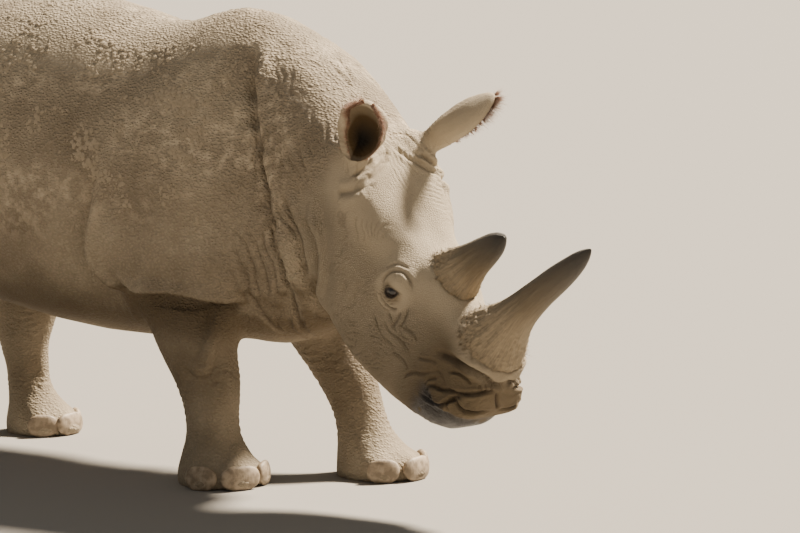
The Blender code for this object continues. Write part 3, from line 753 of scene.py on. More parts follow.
@dataclass(frozen=True)
class WetEye:
    """A wet eyeball: nearly black pupil, dark brown iris and a little brown-stained white.

    The clear tear film is the shader's coat, so it keeps a sharp highlight over soft colour.
    """

    name: str = "eye, wet cornea"
    pupil: str = "#070504"
    iris: str = "#2a1a0e"
    rim: str = "#140d08"
    white: str = "#3b2d24"

    def material(self) -> bpy.types.Material:
        """Builds the eye's material.

        Returns:
            The material.
        """
        material, add, shader = new_material(self.name)
        reach = add("ShaderNodeAttribute", attribute_name="off_axis").outputs["Fac"]
        rings = add("ShaderNodeValToRGB", {"Fac": reach})
        stops = ((0.0, self.pupil), (0.24, self.pupil), (0.32, self.iris), (0.48, self.iris))
        set_ramp(rings, (*stops, (0.52, self.rim), (0.6, self.white), (1.0, self.white)))
        fill(shader, {"Base Color": rings.outputs["Color"], "Roughness": 0.35})
        fill(shader, {"Coat Weight": 0.5, "Coat Roughness": 0.04})
        return material


@dataclass(frozen=True)
class Bristle:
    """Coarse hair: each bristle keeps its own shade, a little glossy along its length."""

    name: str
    root: str
    tip: str

    def material(self) -> bpy.types.Material:
        """Builds the hair's material.

        Returns:
            The material.
        """
        material, add, shader = new_material(self.name)
        along = add("ShaderNodeAttribute", attribute_name="along").outputs["Fac"]
        shade = add("ShaderNodeAttribute", attribute_name="shade").outputs["Fac"]
        colour = add(
            "ShaderNodeMix", {0: along, 6: linear(self.root), 7: linear(self.tip)}, data_type="RGBA"
        ).outputs[2]
        darker = add("ShaderNodeMapRange", {"Value": shade, "To Max": 0.5}).outputs["Result"]
        colour = add(
            "ShaderNodeMix", {0: darker, 6: colour, 7: linear(self.root)}, data_type="RGBA"
        ).outputs[2]
        fill(shader, {"Base Color": colour, "Roughness": 0.55})
        return material


@dataclass(frozen=True)
class DriedMud:
    """Dried mud: matte and pale, a little redder than the dusty hide, with darker grit in it."""

    name: str = "dried mud"
    pale: str = "#ab9d88"
    dark: str = "#857862"

    def material(self) -> bpy.types.Material:
        """Builds the mud's material.

        Returns:
            The material.
        """
        material, add, shader = new_material(self.name)
        place = add("ShaderNodeTexCoord").outputs["Object"]
        grit = add(
            "ShaderNodeTexNoise", {"Vector": place, "Scale": 1000 / 20.0, "Detail": 5.0}
        ).outputs["Fac"]
        colour = add(
            "ShaderNodeMix", {0: grit, 6: linear(self.pale), 7: linear(self.dark)}, data_type="RGBA"
        ).outputs[2]
        fill(shader, {"Base Color": colour, "Roughness": 0.95})
        return material


@dataclass(frozen=True)
class StudioPaper:
    """Matte floor paper: one pale, even tone, so that nothing draws the eye from the model."""

    name: str = "studio floor, matte paper"
    tone: str = "#908c86"

    def material(self) -> bpy.types.Material:
        """Builds the floor's material.

        Returns:
            The material.
        """
        material, _, shader = new_material(self.name)
        fill(shader, {"Base Color": linear(self.tone), "Roughness": 0.9})
        return material


# ---------------- places on the animal
@dataclass(frozen=True)
class EarShape:
    """An ear: where it stands on the head, where its tip points and where it opens."""

    name: str
    base: tuple[float, float, float]
    way: tuple[float, float, float]
    facing: tuple[float, float, float]
    stretch: tuple[float, float, float] = (1.0, 1.0, 1.0)  # forward, across and up
    blunt: float = 0.0  # how much wider it is made near its tip
    pinch: float = 0.0  # how much narrower it is made near its base
    rim: float = 0.0  # how much thicker its rear wall is made
    notch: float = 0.0  # how much lower it opens in front
    length: float = 0.285

    # Share of the length, half width, half depth; and the same of the hollow, with its shift.
    outside = ((0.0, 0.04, 0.042), (0.14, 0.05, 0.047), (0.32, 0.066, 0.05), (0.52, 0.074, 0.048),
               (0.7, 0.066, 0.04), (0.84, 0.048, 0.03), (0.94, 0.028, 0.02), (1.0, 0.01, 0.009))
    hollow = ((0.13, 0.012, 0.014, 0.01), (0.22, 0.034, 0.035, 0.016), (0.34, 0.052, 0.044, 0.022),
              (0.52, 0.061, 0.048, 0.028), (0.7, 0.054, 0.046, 0.032), (0.84, 0.038, 0.04, 0.034),
              (0.95, 0.018, 0.03, 0.034))

    def place(self) -> Matrix:
        """The ear's own axes in the frame: X where it opens, Y across, Z to its tip.

        Returns:
            Its place in the frame.
        """
        up = Vector(self.way).normalized()
        front = Vector(self.facing)
        front = (front - up * front.dot(up)).normalized()
        turned = Matrix((front, up.cross(front), up)).transposed().to_4x4()
        return HEAD_PLACE @ Matrix.Translation(self.base) @ turned

    def reshaped(self, points: np.ndarray) -> np.ndarray:
        """Draws the ear wider, shorter and blunter than its solid, where it isn't near the skull.

        Args:
            points: Rows of coordinates in the frame.

        Returns:
            The moved points.
        """
        own = moved(points, self.place().inverted())
        share = own[:, 2] / self.length
        part = self.near(points) * ramp(share, 0.02, 0.3)
        wider = 1 + self.blunt * ramp(share, 0.55, 1.0)
        goal = own * np.array(self.stretch)
        goal[:, 1] *= wider * (1 - self.pinch * ramp(share, 0.5, 0.1))
        hollow = self.inside(points) > 0.01
        goal[:, 1] += self.rim * hollow * ramp(own[:, 1], 0.01, -0.045) * ramp(share, 0.95, 0.6)
        front = ramp(own[:, 0], -0.01, 0.035)
        goal[:, 2] -= self.notch * front * ramp(share, 0.65, 0.25) * ramp(share, 0.04, 0.14)
        goal[:, 0] *= 1 + (wider - 1) * 0.5
        back = moved(goal, self.place())
        return points + (back - points) * part[:, None]

    def inside(self, points: np.ndarray) -> np.ndarray:
        """How deep in the ear's hollow each point is: 1 at its bottom, 0 outside it.

        Args:
            points: Rows of coordinates in the frame.

        Returns:
            One number for each point.
        """
        own = moved(points, self.place().inverted())
        share = own[:, 2] / self.length
        rows = np.array(self.hollow)
        width, depth, shift = (np.interp(share, rows[:, 0], rows[:, k]) for k in (1, 2, 3))
        reach = np.hypot((own[:, 0] - shift) / (depth + 0.004), own[:, 1] / (width + 0.003))
        within = ramp(reach, 1.12, 0.98) * ramp(share, 0.08, 0.12) * ramp(share, 1.0, 0.92)
        depth_in = ramp(own[:, 0], 0.03, -0.022) * ramp(share, 0.85, 0.25)
        return within * (0.26 + 0.74 * depth_in)

    def near(self, points: np.ndarray) -> np.ndarray:
        """1 on the ear, falling to 0 below its base."""
        own = moved(points, self.place().inverted())
        return ramp(np.hypot(own[:, 0], own[:, 1]), 0.13, 0.09) * ramp(own[:, 2], 0.0, 0.05)


EARS = (
    EarShape("ear_right", (0.04, -0.16, 0.02), (-0.17, -0.16, 0.97), (0.55, -0.75, 0.2),
             (1.12, 1.2, 0.87), 0.5, 0.45, 0.028, 0.036),
    EarShape("ear_left", (0.018, 0.172, 0.038), (0.06, 0.48, 0.82), (0.45, 0.85, -0.2)),
)


@dataclass(frozen=True)
class EyeSocket:
    """An eye: its ball, the way it looks and the opening between its lids."""

    side: Side
    radius: float = 0.027
    half_length: float = 0.0265
    half_height: float = 0.015
    lid: float = 0.005

    def centre(self) -> Vector:
        """The middle of the eyeball."""
        low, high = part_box(f"eye_{self.side.name.lower()}")
        return (low + high) / 2

    def axes(self) -> Matrix:
        """Turns the eye's own axes into the frame's: X along the lids, Y up, Z where it looks.

        Returns:
            The turn.
        """
        turn = HEAD_PLACE.to_3x3()
        look = (turn @ Vector((0.3, self.side.value * 0.88, 0.36))).normalized()
        along = turn @ Vector((0.76, 0.0, 0.65))
        along = (along - look * along.dot(look)).normalized()
        up = look.cross(along) if self.side is Side.LEFT else along.cross(look)
        return Matrix((along, up, look)).transposed()

    def local(self, points: np.ndarray) -> np.ndarray:
        """Points in the eye's own axes, from its middle."""
        return (points - np.array(self.centre())) @ np.array(self.axes())


@dataclass(frozen=True)
class LegLine:
    """The middle of a leg, by height, in the body's own axes."""

    foot_x: float
    foot_y: float
    middle: tuple[tuple[float, float], ...]  # height, shift forward
    joint: float  # height of the wrist or hock

    def off(self, points: np.ndarray) -> np.ndarray:
        """How far each point is from the leg's middle line, level with it.

        Args:
            points: Rows of coordinates in the frame.

        Returns:
            One distance for each point.
        """
        rows = np.array(self.middle)
        own = points - np.array(BODY_ORIGIN)
        x = own[:, 0] - self.foot_x - np.interp(own[:, 2], rows[:, 0], rows[:, 1])
        return np.hypot(x, own[:, 1] - self.foot_y)


LEGS = (  # fore right, fore left, hind right, hind left
    LegLine(-0.014, -0.238, ((0.0, 0.0), (0.24, -0.02), (0.46, -0.08), (0.72, -0.13)), 0.4),
    LegLine(0.343, 0.235, ((0.0, 0.0), (0.24, -0.08), (0.46, -0.21), (0.72, -0.36)), 0.4),
    LegLine(-1.79, -0.215, ((0.0, 0.0), (0.17, -0.05), (0.38, -0.09), (0.6, -0.03), (0.9, 0.05)), 0.44),
    LegLine(-1.328, 0.197, ((0.0, 0.0), (0.17, -0.05), (0.38, -0.08), (0.6, -0.08), (0.9, -0.25)), 0.44),
)


# ---------------- folds of the skin
@dataclass(frozen=True)
class Fold:
    """A furrow along a line of given points on the animal's right side.

    The skin can be rolled up beside it, on the side that lies to the left of the line's run as
    seen from outside (+1), to its right (-1), or on both (0). With a shelf, the skin on the other
    side of the line sinks by that much at once, and comes back gently over the shelf's reach.
    """

    points: tuple[tuple[float, float, float], ...]
    width: float
    depth: float
    roll: float = 0.0
    roll_side: int = 0
    space: Space = Space.HEAD
    sides: tuple[Side, ...] = (Side.RIGHT, Side.LEFT)
    # how much painted shade darkens the furrow's line
    dark: float = 0.6
    shelf: float = 0.0
    shelf_reach: float = 0.09
    roll_width: float = 1.2  # in widths of the furrow
    even: bool = False  # as deep all along, apart from its ends


@dataclass(frozen=True)
class Swell:
    """A gentle rise or hollow of the form under the skin, given on the animal's right side."""

    centre: tuple[float, float, float]
    radii: tuple[float, float, float]
    height: float
    space: Space = Space.HEAD
    sides: tuple[Side, ...] = (Side.RIGHT, Side.LEFT)


@dataclass(frozen=True)
class Wrinkling:
    """A set of uneven furrows across one direction."""

    spacing: float  # the usual distance between furrows
    depth: float
    seed: int
    sway: float  # how much they wander, in spacings
    dark: float = 0.35  # how much painted shade darkens them


NECK_PLEATS = Wrinkling(0.038, 0.0115, 21, 0.5, 0.4)
NAPE_PLEATS = Wrinkling(0.03, 0.003, 22, 0.6, 0.15)
NECK_RINGS = Wrinkling(0.03, 0.0028, 31, 0.9, 0.2)
SHOULDER_LINES = Wrinkling(0.028, 0.0026, 41, 1.0, 0.15)
LEG_RINGS = Wrinkling(0.024, 0.006, 51, 0.6)
LEG_LINES = Wrinkling(0.03, 0.002, 61, 0.9, 0.2)
MUZZLE_LINES = Wrinkling(0.022, 0.0034, 71, 0.8, 0.5)
CHEEK_LINES = Wrinkling(0.024, 0.003, 81, 0.9, 0.32)
FACE_LINES = Wrinkling(0.022, 0.004, 83, 1.0, 0.55)
EAR_RINGS = Wrinkling(0.014, 0.003, 91, 0.3, 0.4)
POLL_ARCS = Wrinkling(0.019, 0.0026, 101, 0.5, 0.25)

# The main fold of the neck, by height and place forward in the body's own axes.
NECK_FOLD_HEIGHTS = (0.59, 0.65, 0.736, 0.828, 0.916, 1.027, 1.123, 1.287, 1.56)
NECK_FOLD_PLACES = (0.326, 0.354, 0.377, 0.381, 0.365, 0.34, 0.311, 0.249, 0.13)

EAR_FOLDS = (
    Fold(((0.059, -0.105, 0.036), (0.083, -0.13, 0.025), (0.095, -0.163, 0.007), (0.098, -0.187, -0.007)),
         0.009, 0.012, 0.007, dark=0.45),
    Fold(((0.011, -0.01, 0.033), (0.047, -0.033, 0.029), (0.087, -0.074, 0.022), (0.118, -0.117, 0.011),
          (0.133, -0.151, 0.001)), 0.008, 0.007, 0.004, dark=0.3),
    Fold(((0.104, -0.232, -0.075), (0.123, -0.218, -0.055), (0.138, -0.201, -0.032),
          (0.142, -0.169, -0.007)), 0.011, 0.012, 0.009, dark=0.3, roll_width=1.6),
)

POLL_FOLDS = (
    Fold(((-0.026, 0.01, 0.035), (-0.037, 0.052, 0.034), (-0.028, 0.083, 0.04), (-0.004, 0.093, 0.045),
          (0.035, 0.105, 0.045), (0.066, 0.132, 0.035)), 0.006, 0.0035, 0.0, dark=0.2),
    Fold(((-0.02, 0.122, 0.049), (0.03, 0.126, 0.053), (0.063, 0.152, 0.034)), 0.006, 0.0035, 0.0,
         dark=0.2),
    Fold(((0.076, 0.027, 0.023), (0.076, 0.066, 0.023), (0.091, 0.099, 0.019), (0.113, 0.131, 0.01),
          (0.145, 0.155, -0.005)), 0.006, 0.0035, 0.0, dark=0.2),
    Fold(((0.04, 0.022, 0.03), (0.05, 0.07, 0.029), (0.067, 0.103, 0.029), (0.088, 0.137, 0.017)), 0.006,
         0.003, 0.0, dark=0.2),
)

EYE_FOLDS = (
    Fold(((0.443, -0.171, -0.18), (0.431, -0.171, -0.152), (0.441, -0.167, -0.12), (0.455, -0.159, -0.095),
          (0.475, -0.146, -0.084), (0.505, -0.136, -0.087), (0.535, -0.135, -0.099)), 0.0062, 0.0075, 0.002,
         dark=0.65),
    Fold(((0.413, -0.167, -0.122), (0.421, -0.157, -0.093), (0.44, -0.146, -0.077),
          (0.469, -0.128, -0.072)), 0.006, 0.005, 0.001, dark=0.35),
    Fold(((0.446, -0.173, -0.197), (0.47, -0.171, -0.212), (0.5, -0.166, -0.214), (0.527, -0.16, -0.205),
          (0.538, -0.155, -0.186)), 0.005, 0.007, 0.0015, dark=0.7),
    Fold(((0.435, -0.177, -0.21), (0.462, -0.174, -0.231), (0.497, -0.167, -0.233), (0.527, -0.161, -0.22)),
         0.005, 0.006, 0.0015, dark=0.6),
    # the fan of wrinkles under the eye
    Fold(((0.519, -0.166, -0.228), (0.55, -0.164, -0.243), (0.59, -0.16, -0.26)), 0.006, 0.0055, 0.0015,
         dark=0.65),
    Fold(((0.556, -0.152, -0.187), (0.563, -0.156, -0.226), (0.562, -0.164, -0.267)), 0.006, 0.0055, 0.0015,
         dark=0.65),
    Fold(((0.566, -0.147, -0.155), (0.58, -0.15, -0.186), (0.591, -0.156, -0.233)), 0.006, 0.005, 0.0015,
         dark=0.6),
    Fold(((0.593, -0.155, -0.224), (0.63, -0.148, -0.204), (0.672, -0.142, -0.205)), 0.006, 0.005, 0.0015,
         dark=0.6),
    Fold(((0.522, -0.172, -0.268), (0.566, -0.168, -0.283), (0.62, -0.16, -0.266), (0.682, -0.15, -0.267)),
         0.006, 0.0055, 0.0015, dark=0.65),
    Fold(((0.48, -0.176, -0.286), (0.545, -0.172, -0.321), (0.617, -0.164, -0.312)), 0.006, 0.005, 0.0015,
         dark=0.6),
    Fold(((0.61, -0.158, -0.34), (0.655, -0.154, -0.318), (0.705, -0.148, -0.322)), 0.006, 0.0055, 0.0015,
         dark=0.6),
)

MUZZLE_FOLDS = (
    # under the front horn's boss
    Fold(((0.747, -0.125, -0.168), (0.783, -0.118, -0.147), (0.821, -0.111, -0.123), (0.868, -0.11, -0.097),
          (0.906, -0.098, -0.084), (0.939, -0.076, -0.081), (0.956, -0.048, -0.097),
          (0.966, -0.021, -0.095), (0.964, 0.008, -0.082)), 0.01, 0.02, 0.008, dark=1.0),
    # the long line of the nostril, and the flap under it
    Fold(((0.814, -0.137, -0.299), (0.816, -0.138, -0.268), (0.841, -0.136, -0.243),
          (0.867, -0.134, -0.227), (0.895, -0.13, -0.193), (0.923, -0.122, -0.177), (0.947, -0.105, -0.156),
          (0.963, -0.083, -0.134), (0.968, -0.059, -0.122), (0.976, -0.026, -0.119)), 0.0062, 0.018, 0.005,
         dark=1.0),
    Fold(((0.832, -0.138, -0.276), (0.857, -0.136, -0.283), (0.886, -0.135, -0.269),
          (0.915, -0.136, -0.237), (0.922, -0.132, -0.197), (0.945, -0.114, -0.177)), 0.0062, 0.018, 0.005,
         dark=1.0),
    # the mouth
    Fold(((0.8, -0.139, -0.335), (0.865, -0.139, -0.3), (0.905, -0.137, -0.255), (0.93, -0.132, -0.204),
          (0.949, -0.13, -0.206), (0.969, -0.118, -0.211), (0.99, -0.097, -0.201), (0.996, -0.058, -0.2),
          (0.994, -0.009, -0.208)), 0.0062, 0.018, 0.005, dark=1.0),
    Fold(((0.907, -0.138, -0.225), (0.932, -0.134, -0.244), (0.957, -0.12, -0.248), (0.976, -0.11, -0.242)),
         0.0058, 0.014, 0.004, dark=1.0),
    Fold(((0.975, -0.03, -0.119), (0.99, -0.02, -0.152), (0.995, 0.007, -0.199)), 0.0055, 0.012, 0.003,
         dark=0.9, sides=(Side.RIGHT,)),
    Fold(((0.701, -0.135, -0.373), (0.708, -0.136, -0.338), (0.732, -0.137, -0.298), (0.77, -0.138, -0.256),
          (0.789, -0.134, -0.228)), 0.0055, 0.008, 0.003, dark=0.5),
    Fold(((0.705, -0.138, -0.233), (0.721, -0.138, -0.235), (0.754, -0.133, -0.207),
          (0.786, -0.13, -0.184)), 0.0048, 0.008, 0.003, dark=0.5),
    Fold(((0.795, -0.138, -0.284), (0.803, -0.136, -0.248), (0.823, -0.134, -0.218)), 0.0048, 0.008, 0.003,
         dark=0.5),
    Fold(((0.794, -0.132, -0.205), (0.826, -0.132, -0.193), (0.856, -0.132, -0.194),
          (0.875, -0.132, -0.207)), 0.0045, 0.006, 0.002, dark=0.5),
    Fold(((0.844, -0.126, -0.161), (0.876, -0.117, -0.134), (0.91, -0.107, -0.127), (0.932, -0.1, -0.132)),
         0.0048, 0.008, 0.003, dark=0.5),
    Fold(((0.943, -0.083, -0.112), (0.96, -0.081, -0.128)), 0.0048, 0.008, 0.003, dark=0.5),
    Fold(((0.948, -0.071, -0.102), (0.966, -0.065, -0.124)), 0.0048, 0.008, 0.003, dark=0.5),
    Fold(((0.959, -0.05, -0.103), (0.972, -0.049, -0.12)), 0.0048, 0.008, 0.003, dark=0.5),
)

HEAD_FORMS = (
    Swell((0.477, -0.152, -0.117), (0.042, 0.06, 0.032), 0.021),  # the dome of the upper lid
    Swell((0.605, -0.125, -0.14), (0.06, 0.06, 0.06), -0.009),  # in front of the eye
    Swell((0.35, -0.18, -0.13), (0.07, 0.07, 0.06), -0.012),  # the temple
    Swell((0.3, -0.2, -0.235), (0.12, 0.08, 0.045), 0.01),  # the cheekbone
    Swell((0.31, -0.2, -0.41), (0.13, 0.1, 0.11), 0.012),  # the cheek
    Swell((0.62, -0.14, -0.4), (0.09, 0.08, 0.09), -0.01),
    Swell((0.87, -0.135, -0.262), (0.05, 0.05, 0.026), 0.015),  # the flap of the nostril
    Swell((0.95, -0.11, -0.235), (0.04, 0.05, 0.03), 0.01),  # the upper lip's corner
    Swell((0.9, -0.12, -0.33), (0.06, 0.06, 0.04), -0.012),  # the pocket under it
    Swell((0.76, -0.13, -0.25), (0.045, 0.06, 0.06), 0.007),
    Swell((0.885, -0.125, -0.175), (0.055, 0.06, 0.026), 0.011),  # the pad over the nostril
    Swell((0.915, -0.132, -0.245), (0.026, 0.05, 0.022), 0.01),
    Swell((0.965, -0.08, -0.165), (0.04, 0.06, 0.03), 0.008),  # the front of the upper lip
    Swell((0.955, -0.09, -0.275), (0.06, 0.08, 0.028), -0.014),  # under the upper lip
    Swell((0.25, 0.0, 0.0), (0.11, 0.06, 0.08), -0.01, sides=(Side.RIGHT,)),
    Swell((0.4, -0.105, -0.035), (0.11, 0.04, 0.06), 0.007),  # the forehead's edge
    Swell((0.555, 0.0, -0.04), (0.15, 0.11, 0.08), 0.01, sides=(Side.RIGHT,)),  # rear boss
    Swell((0.835, 0.0, -0.04), (0.15, 0.15, 0.09), 0.007, sides=(Side.RIGHT,)),  # front boss
)

BODY_FORMS = (
    Swell((-0.12, -0.43, 1.17), (0.19, 0.25, 0.26), 0.022, Space.BODY),  # the shoulder blade
    Swell((-0.2, -0.44, 0.84), (0.17, 0.22, 0.12), 0.016, Space.BODY),  # the muscle over the elbow
    Swell((0.05, -0.36, 1.36), (0.1, 0.2, 0.16), -0.01, Space.BODY),
    Swell((-1.62, -0.3, 1.5), (0.12, 0.14, 0.12), 0.02, Space.BODY),  # the hip bone
    Swell((-1.25, -0.47, 1.36), (0.17, 0.2, 0.14), -0.018, Space.BODY),  # the hollow of the flank
    Swell((-1.85, -0.42, 1.0), (0.17, 0.2, 0.22), 0.016, Space.BODY),  # the thigh
    Swell((-2.02, -0.22, 1.25), (0.09, 0.1, 0.14), 0.01, Space.BODY),
)

ELBOW = (
    (-0.35, -0.381, 0.712), (-0.257, -0.375, 0.699), (-0.111, -0.376, 0.704), (0.003, -0.343, 0.704),
    (0.085, -0.301, 0.69), (0.125, -0.262, 0.64),
)

BODY_FOLDS = (
    # the main fold of the neck, from behind the hump down to the brisket
    Fold(((0.13, -0.16, 1.56), (0.19, -0.25, 1.42), (0.249, -0.309, 1.287), (0.278, -0.322, 1.226),
          (0.311, -0.334, 1.123), (0.34, -0.342, 1.027), (0.365, -0.34, 0.916), (0.381, -0.326, 0.828),
          (0.377, -0.29, 0.736), (0.354, -0.23, 0.65), (0.326, -0.157, 0.59)), 0.015, 0.028, 0.028, 1,
         Space.BODY, dark=0.8, shelf=0.036, shelf_reach=0.09, roll_width=2.2),
    Fold(((0.422, -0.38, 1.08), (0.463, -0.386, 0.996), (0.493, -0.374, 0.927), (0.498, -0.353, 0.863),
          (0.473, -0.307, 0.78)), 0.012, 0.02, 0.018, 1, Space.BODY, dark=0.8, shelf=0.02, shelf_reach=0.04,
         roll_width=1.8),
    Fold(((0.515, -0.383, 1.016), (0.561, -0.396, 0.95), (0.574, -0.385, 0.881), (0.56, -0.358, 0.808),
          (0.529, -0.309, 0.749), (0.562, -0.311, 0.695), (0.585, -0.312, 0.659)), 0.012, 0.022, 0.018, 1,
         Space.BODY, dark=0.8, shelf=0.02, shelf_reach=0.04, roll_width=1.8),
    Fold(((0.368, -0.268, 0.697), (0.332, -0.186, 0.608), (0.292, -0.094, 0.556), (0.254, 0.014, 0.534)),
         0.01, 0.01, 0.006, 0, Space.BODY),
    Fold(((0.19, -0.303, 0.73), (0.193, -0.258, 0.676), (0.207, -0.21, 0.608), (0.216, -0.148, 0.562),
          (0.26, -0.117, 0.555)), 0.009, 0.009, 0.005, 0, Space.BODY),
    Fold(((0.394, -0.096, 1.536), (0.462, -0.113, 1.486), (0.521, -0.12, 1.443)), 0.008, 0.005, 0.003, 0,
         Space.BODY),
    # the roll over the elbow, the fold behind the shoulder and the edge of the forearm
    Fold(ELBOW, 0.013, 0.02, 0.042, 1, Space.BODY, (Side.RIGHT,), 1.0, 0.075, 0.17, 1.6, True),
    Fold(ELBOW, 0.014, 0.012, 0.026, 1, Space.BODY, (Side.LEFT,), 0.5, 0.034, 0.15, 1.8, True),
    Fold(((-0.375, -0.465, 1.14), (-0.41, -0.462, 1.04), (-0.44, -0.455, 0.94), (-0.467, -0.444, 0.85),
          (-0.474, -0.428, 0.79), (-0.448, -0.392, 0.735), (-0.4, -0.36, 0.69), (-0.33, -0.346, 0.672)),
         0.013, 0.014, 0.02, 1, Space.BODY, dark=0.5, shelf=0.036, shelf_reach=0.13, roll_width=2.0,
         even=True),
    Fold(((0.082, -0.3, 0.56), (0.086, -0.32, 0.48), (0.05, -0.35, 0.405), (-0.01, -0.37, 0.395),
          (-0.07, -0.37, 0.43)), 0.009, 0.008, 0.008, -1, Space.BODY, sides=(Side.RIGHT,), dark=0.4,
         shelf=0.014, shelf_reach=0.06, roll_width=2.0, even=True),
    # in front of the thigh
    Fold(((-1.28, -0.5, 1.1), (-1.34, -0.5, 0.95), (-1.38, -0.45, 0.82), (-1.36, -0.35, 0.72)), 0.014,
         0.012, 0.01, -1, Space.BODY, shelf=0.022, shelf_reach=0.12, roll_width=2.4),
)


# ---------------- the skin
class Clay:
    """The skin's surface while it is shaped, with the marks that its material reads."""

    def __init__(self, piece: bpy.types.Object) -> None:
        """Starts on a fused mesh.

        Args:
            piece: The fused mesh.
        """
        self.surface = Surface(piece.data)
        self.settle()
        count = len(self.points)
        self.marks = {name: np.zeros(count) for name in MARKS}
        self.own = self.points - np.array(BODY_ORIGIN)
        self.head = moved(self.points, HEAD_PLACE.inverted())
        u, v = self.head[:, 0], self.head[:, 2]
        jaw = u + 1.43 * np.minimum(v + 0.31, 0.0)  # the cheek ends along a slope below the ear
        self.on_head = ramp(u, -0.1, 0.02) * ramp(v, -0.76, -0.64) * ramp(jaw, -0.05, 0.06)
        self.on_ear = np.maximum(EARS[0].near(self.points), EARS[1].near(self.points))

    @property
    def points(self) -> np.ndarray:
        """The vertices' places."""
        return self.surface.points

    def push(self, amount: np.ndarray) -> None:
        """Moves the vertices along the directions out of the surface, by one number each."""
        self.surface.points += self.out * amount[:, None]

    def mark(self, name: str, strength: np.ndarray) -> None:
        """Raises one of the marks to at least a strength."""
        self.marks[name] = np.maximum(self.marks[name], np.clip(strength, 0.0, 1.0))

    def fold(self, fold: Fold) -> None:
        """Presses a fold into the skin, on each of its sides.

        Args:
            fold: The fold.
        """
        reach = max(fold.width * (2.2 + 2.2 * fold.roll_width), 2.2 * fold.shelf_reach if fold.shelf else 0.0)
        for side in fold.sides:
            line = smooth_line(to_frame(fold.points, fold.space, side), 0.6 * fold.width)
            line, up = snapped(line, self.tree)
            low, high = line.min(axis=0) - reach, line.max(axis=0) + reach
            near = np.flatnonzero(np.all((self.rest > low) & (self.rest < high), axis=1))
            if not len(near):
                continue
            gaps = np.linalg.norm(self.rest[near, None, :] - line[None, :, :], axis=2)
            nearest = gaps.argmin(axis=1)
            gap = gaps[np.arange(len(near)), nearest]
            kept = (gap < reach) & (np.sum(self.out[near] * up[nearest], axis=1) > 0.1)
            near, nearest, gap = near[kept], nearest[kept], gap[kept]
            run = np.gradient(line, axis=0)
            run /= np.linalg.norm(run, axis=1)[:, None]
            left = np.cross(up, run) * (1.0 if side is Side.RIGHT else -1.0)
            across = np.sum((self.rest[near] - line[nearest]) * left[nearest], axis=1)
            share = nearest / (len(line) - 1)
            ends = ramp(share, -0.02, 0.3 if fold.even else 0.16) * ramp(share, 1.02, 0.84)
            if not fold.even:
                ends *= 0.85 + 0.3 * noise(self.rest[near], 0.05, 5)
            furrow = np.exp(-((gap / fold.width) ** 2))
            middle = (1.0 + fold.roll_width) * fold.width
            beside = np.exp(-(((gap - middle) / (fold.roll_width * fold.width)) ** 2))
            if fold.roll_side:
                beside = beside * ramp(across * fold.roll_side, -0.3 * fold.width, 0.8 * fold.width)
            amount = np.zeros(len(self.points))
            amount[near] = ends * (fold.roll * beside - fold.depth * furrow)
            if fold.shelf:
                sunk = np.exp(-((gap / fold.shelf_reach) ** 2))
                sunk *= ramp(-across * (fold.roll_side or 1), -0.4 * fold.width, 0.8 * fold.width)
                amount[near] -= ends * fold.shelf * sunk
            self.push(amount)
            if fold.shelf:
                torn = np.zeros(len(self.points))
                torn[near] = np.exp(-((gap / (2.0 * fold.width + 0.012)) ** 2))
                self.surface.relax(torn, 4)
            # painted shade: the skin is darkened along the furrow's line
            dark = np.zeros(len(self.points))
            dark[near] = ends * fold.dark * np.exp(-((gap / (0.7 * fold.width)) ** 2))
            self.mark("furrow", dark)

    def swell(self, swell: Swell) -> None:
        """Raises or sinks the skin over a rounded area, on each of its sides.

        Args:
            swell: The rise or hollow.
        """
        for side in swell.sides:
            centre = to_frame(np.array([swell.centre]), swell.space, side)[0]
            gap = self.points - centre
            if swell.space is Space.HEAD:
                gap = gap @ np.array(HEAD_PLACE.to_3x3())
            reach = np.sum((gap / np.array(swell.radii)) ** 2, axis=1)
            self.push(swell.height * np.exp(-reach))

    def wrinkles(self, along: np.ndarray, mask: np.ndarray, kind: Wrinkling) -> None:
        """Draws uneven furrows across one direction.

        Args:
            along: Each vertex's way along that direction.
            mask: Where and how strongly they show, from 0 to 1.
            kind: Their spacing, depth and pattern.
        """
        here = np.flatnonzero(mask > 0.01)
        spots = self.points[here]
        wander = noise(spots, kind.spacing * 5.0, kind.seed) * kind.sway * 2.2
        wander = wander + noise(spots, kind.spacing * 1.7, kind.seed + 3) * kind.sway
        valley = 1.0 - np.abs(np.sin(np.pi * (along[here] / kind.spacing + wander))) ** 0.7
        fade = ramp(noise(spots, kind.spacing * 3.0, kind.seed + 7), -0.5, 0.25)
        strength = valley * fade * mask[here]
        amount = np.zeros(len(self.points))
        amount[here] = -kind.depth * (strength - 0.35 * fade * mask[here])
        self.push(amount)
        # painted shade: the wrinkles' valleys are darkened
        shade = np.zeros(len(self.points))
        shade[here] = kind.dark * ramp(strength, 0.45, 0.95)
        self.mark("furrow", shade)

    def settle(self) -> None:
        """Takes the surface's directions and places again, as those that folds are measured on."""
        self.out = self.surface.normals()
        self.tree = tree_of(self.surface.mesh)
        self.rest = self.points.copy()


@dataclass(frozen=True)
class Region:
    """A part of the skin with its own number of triangles."""

    name: str
    triangles: int


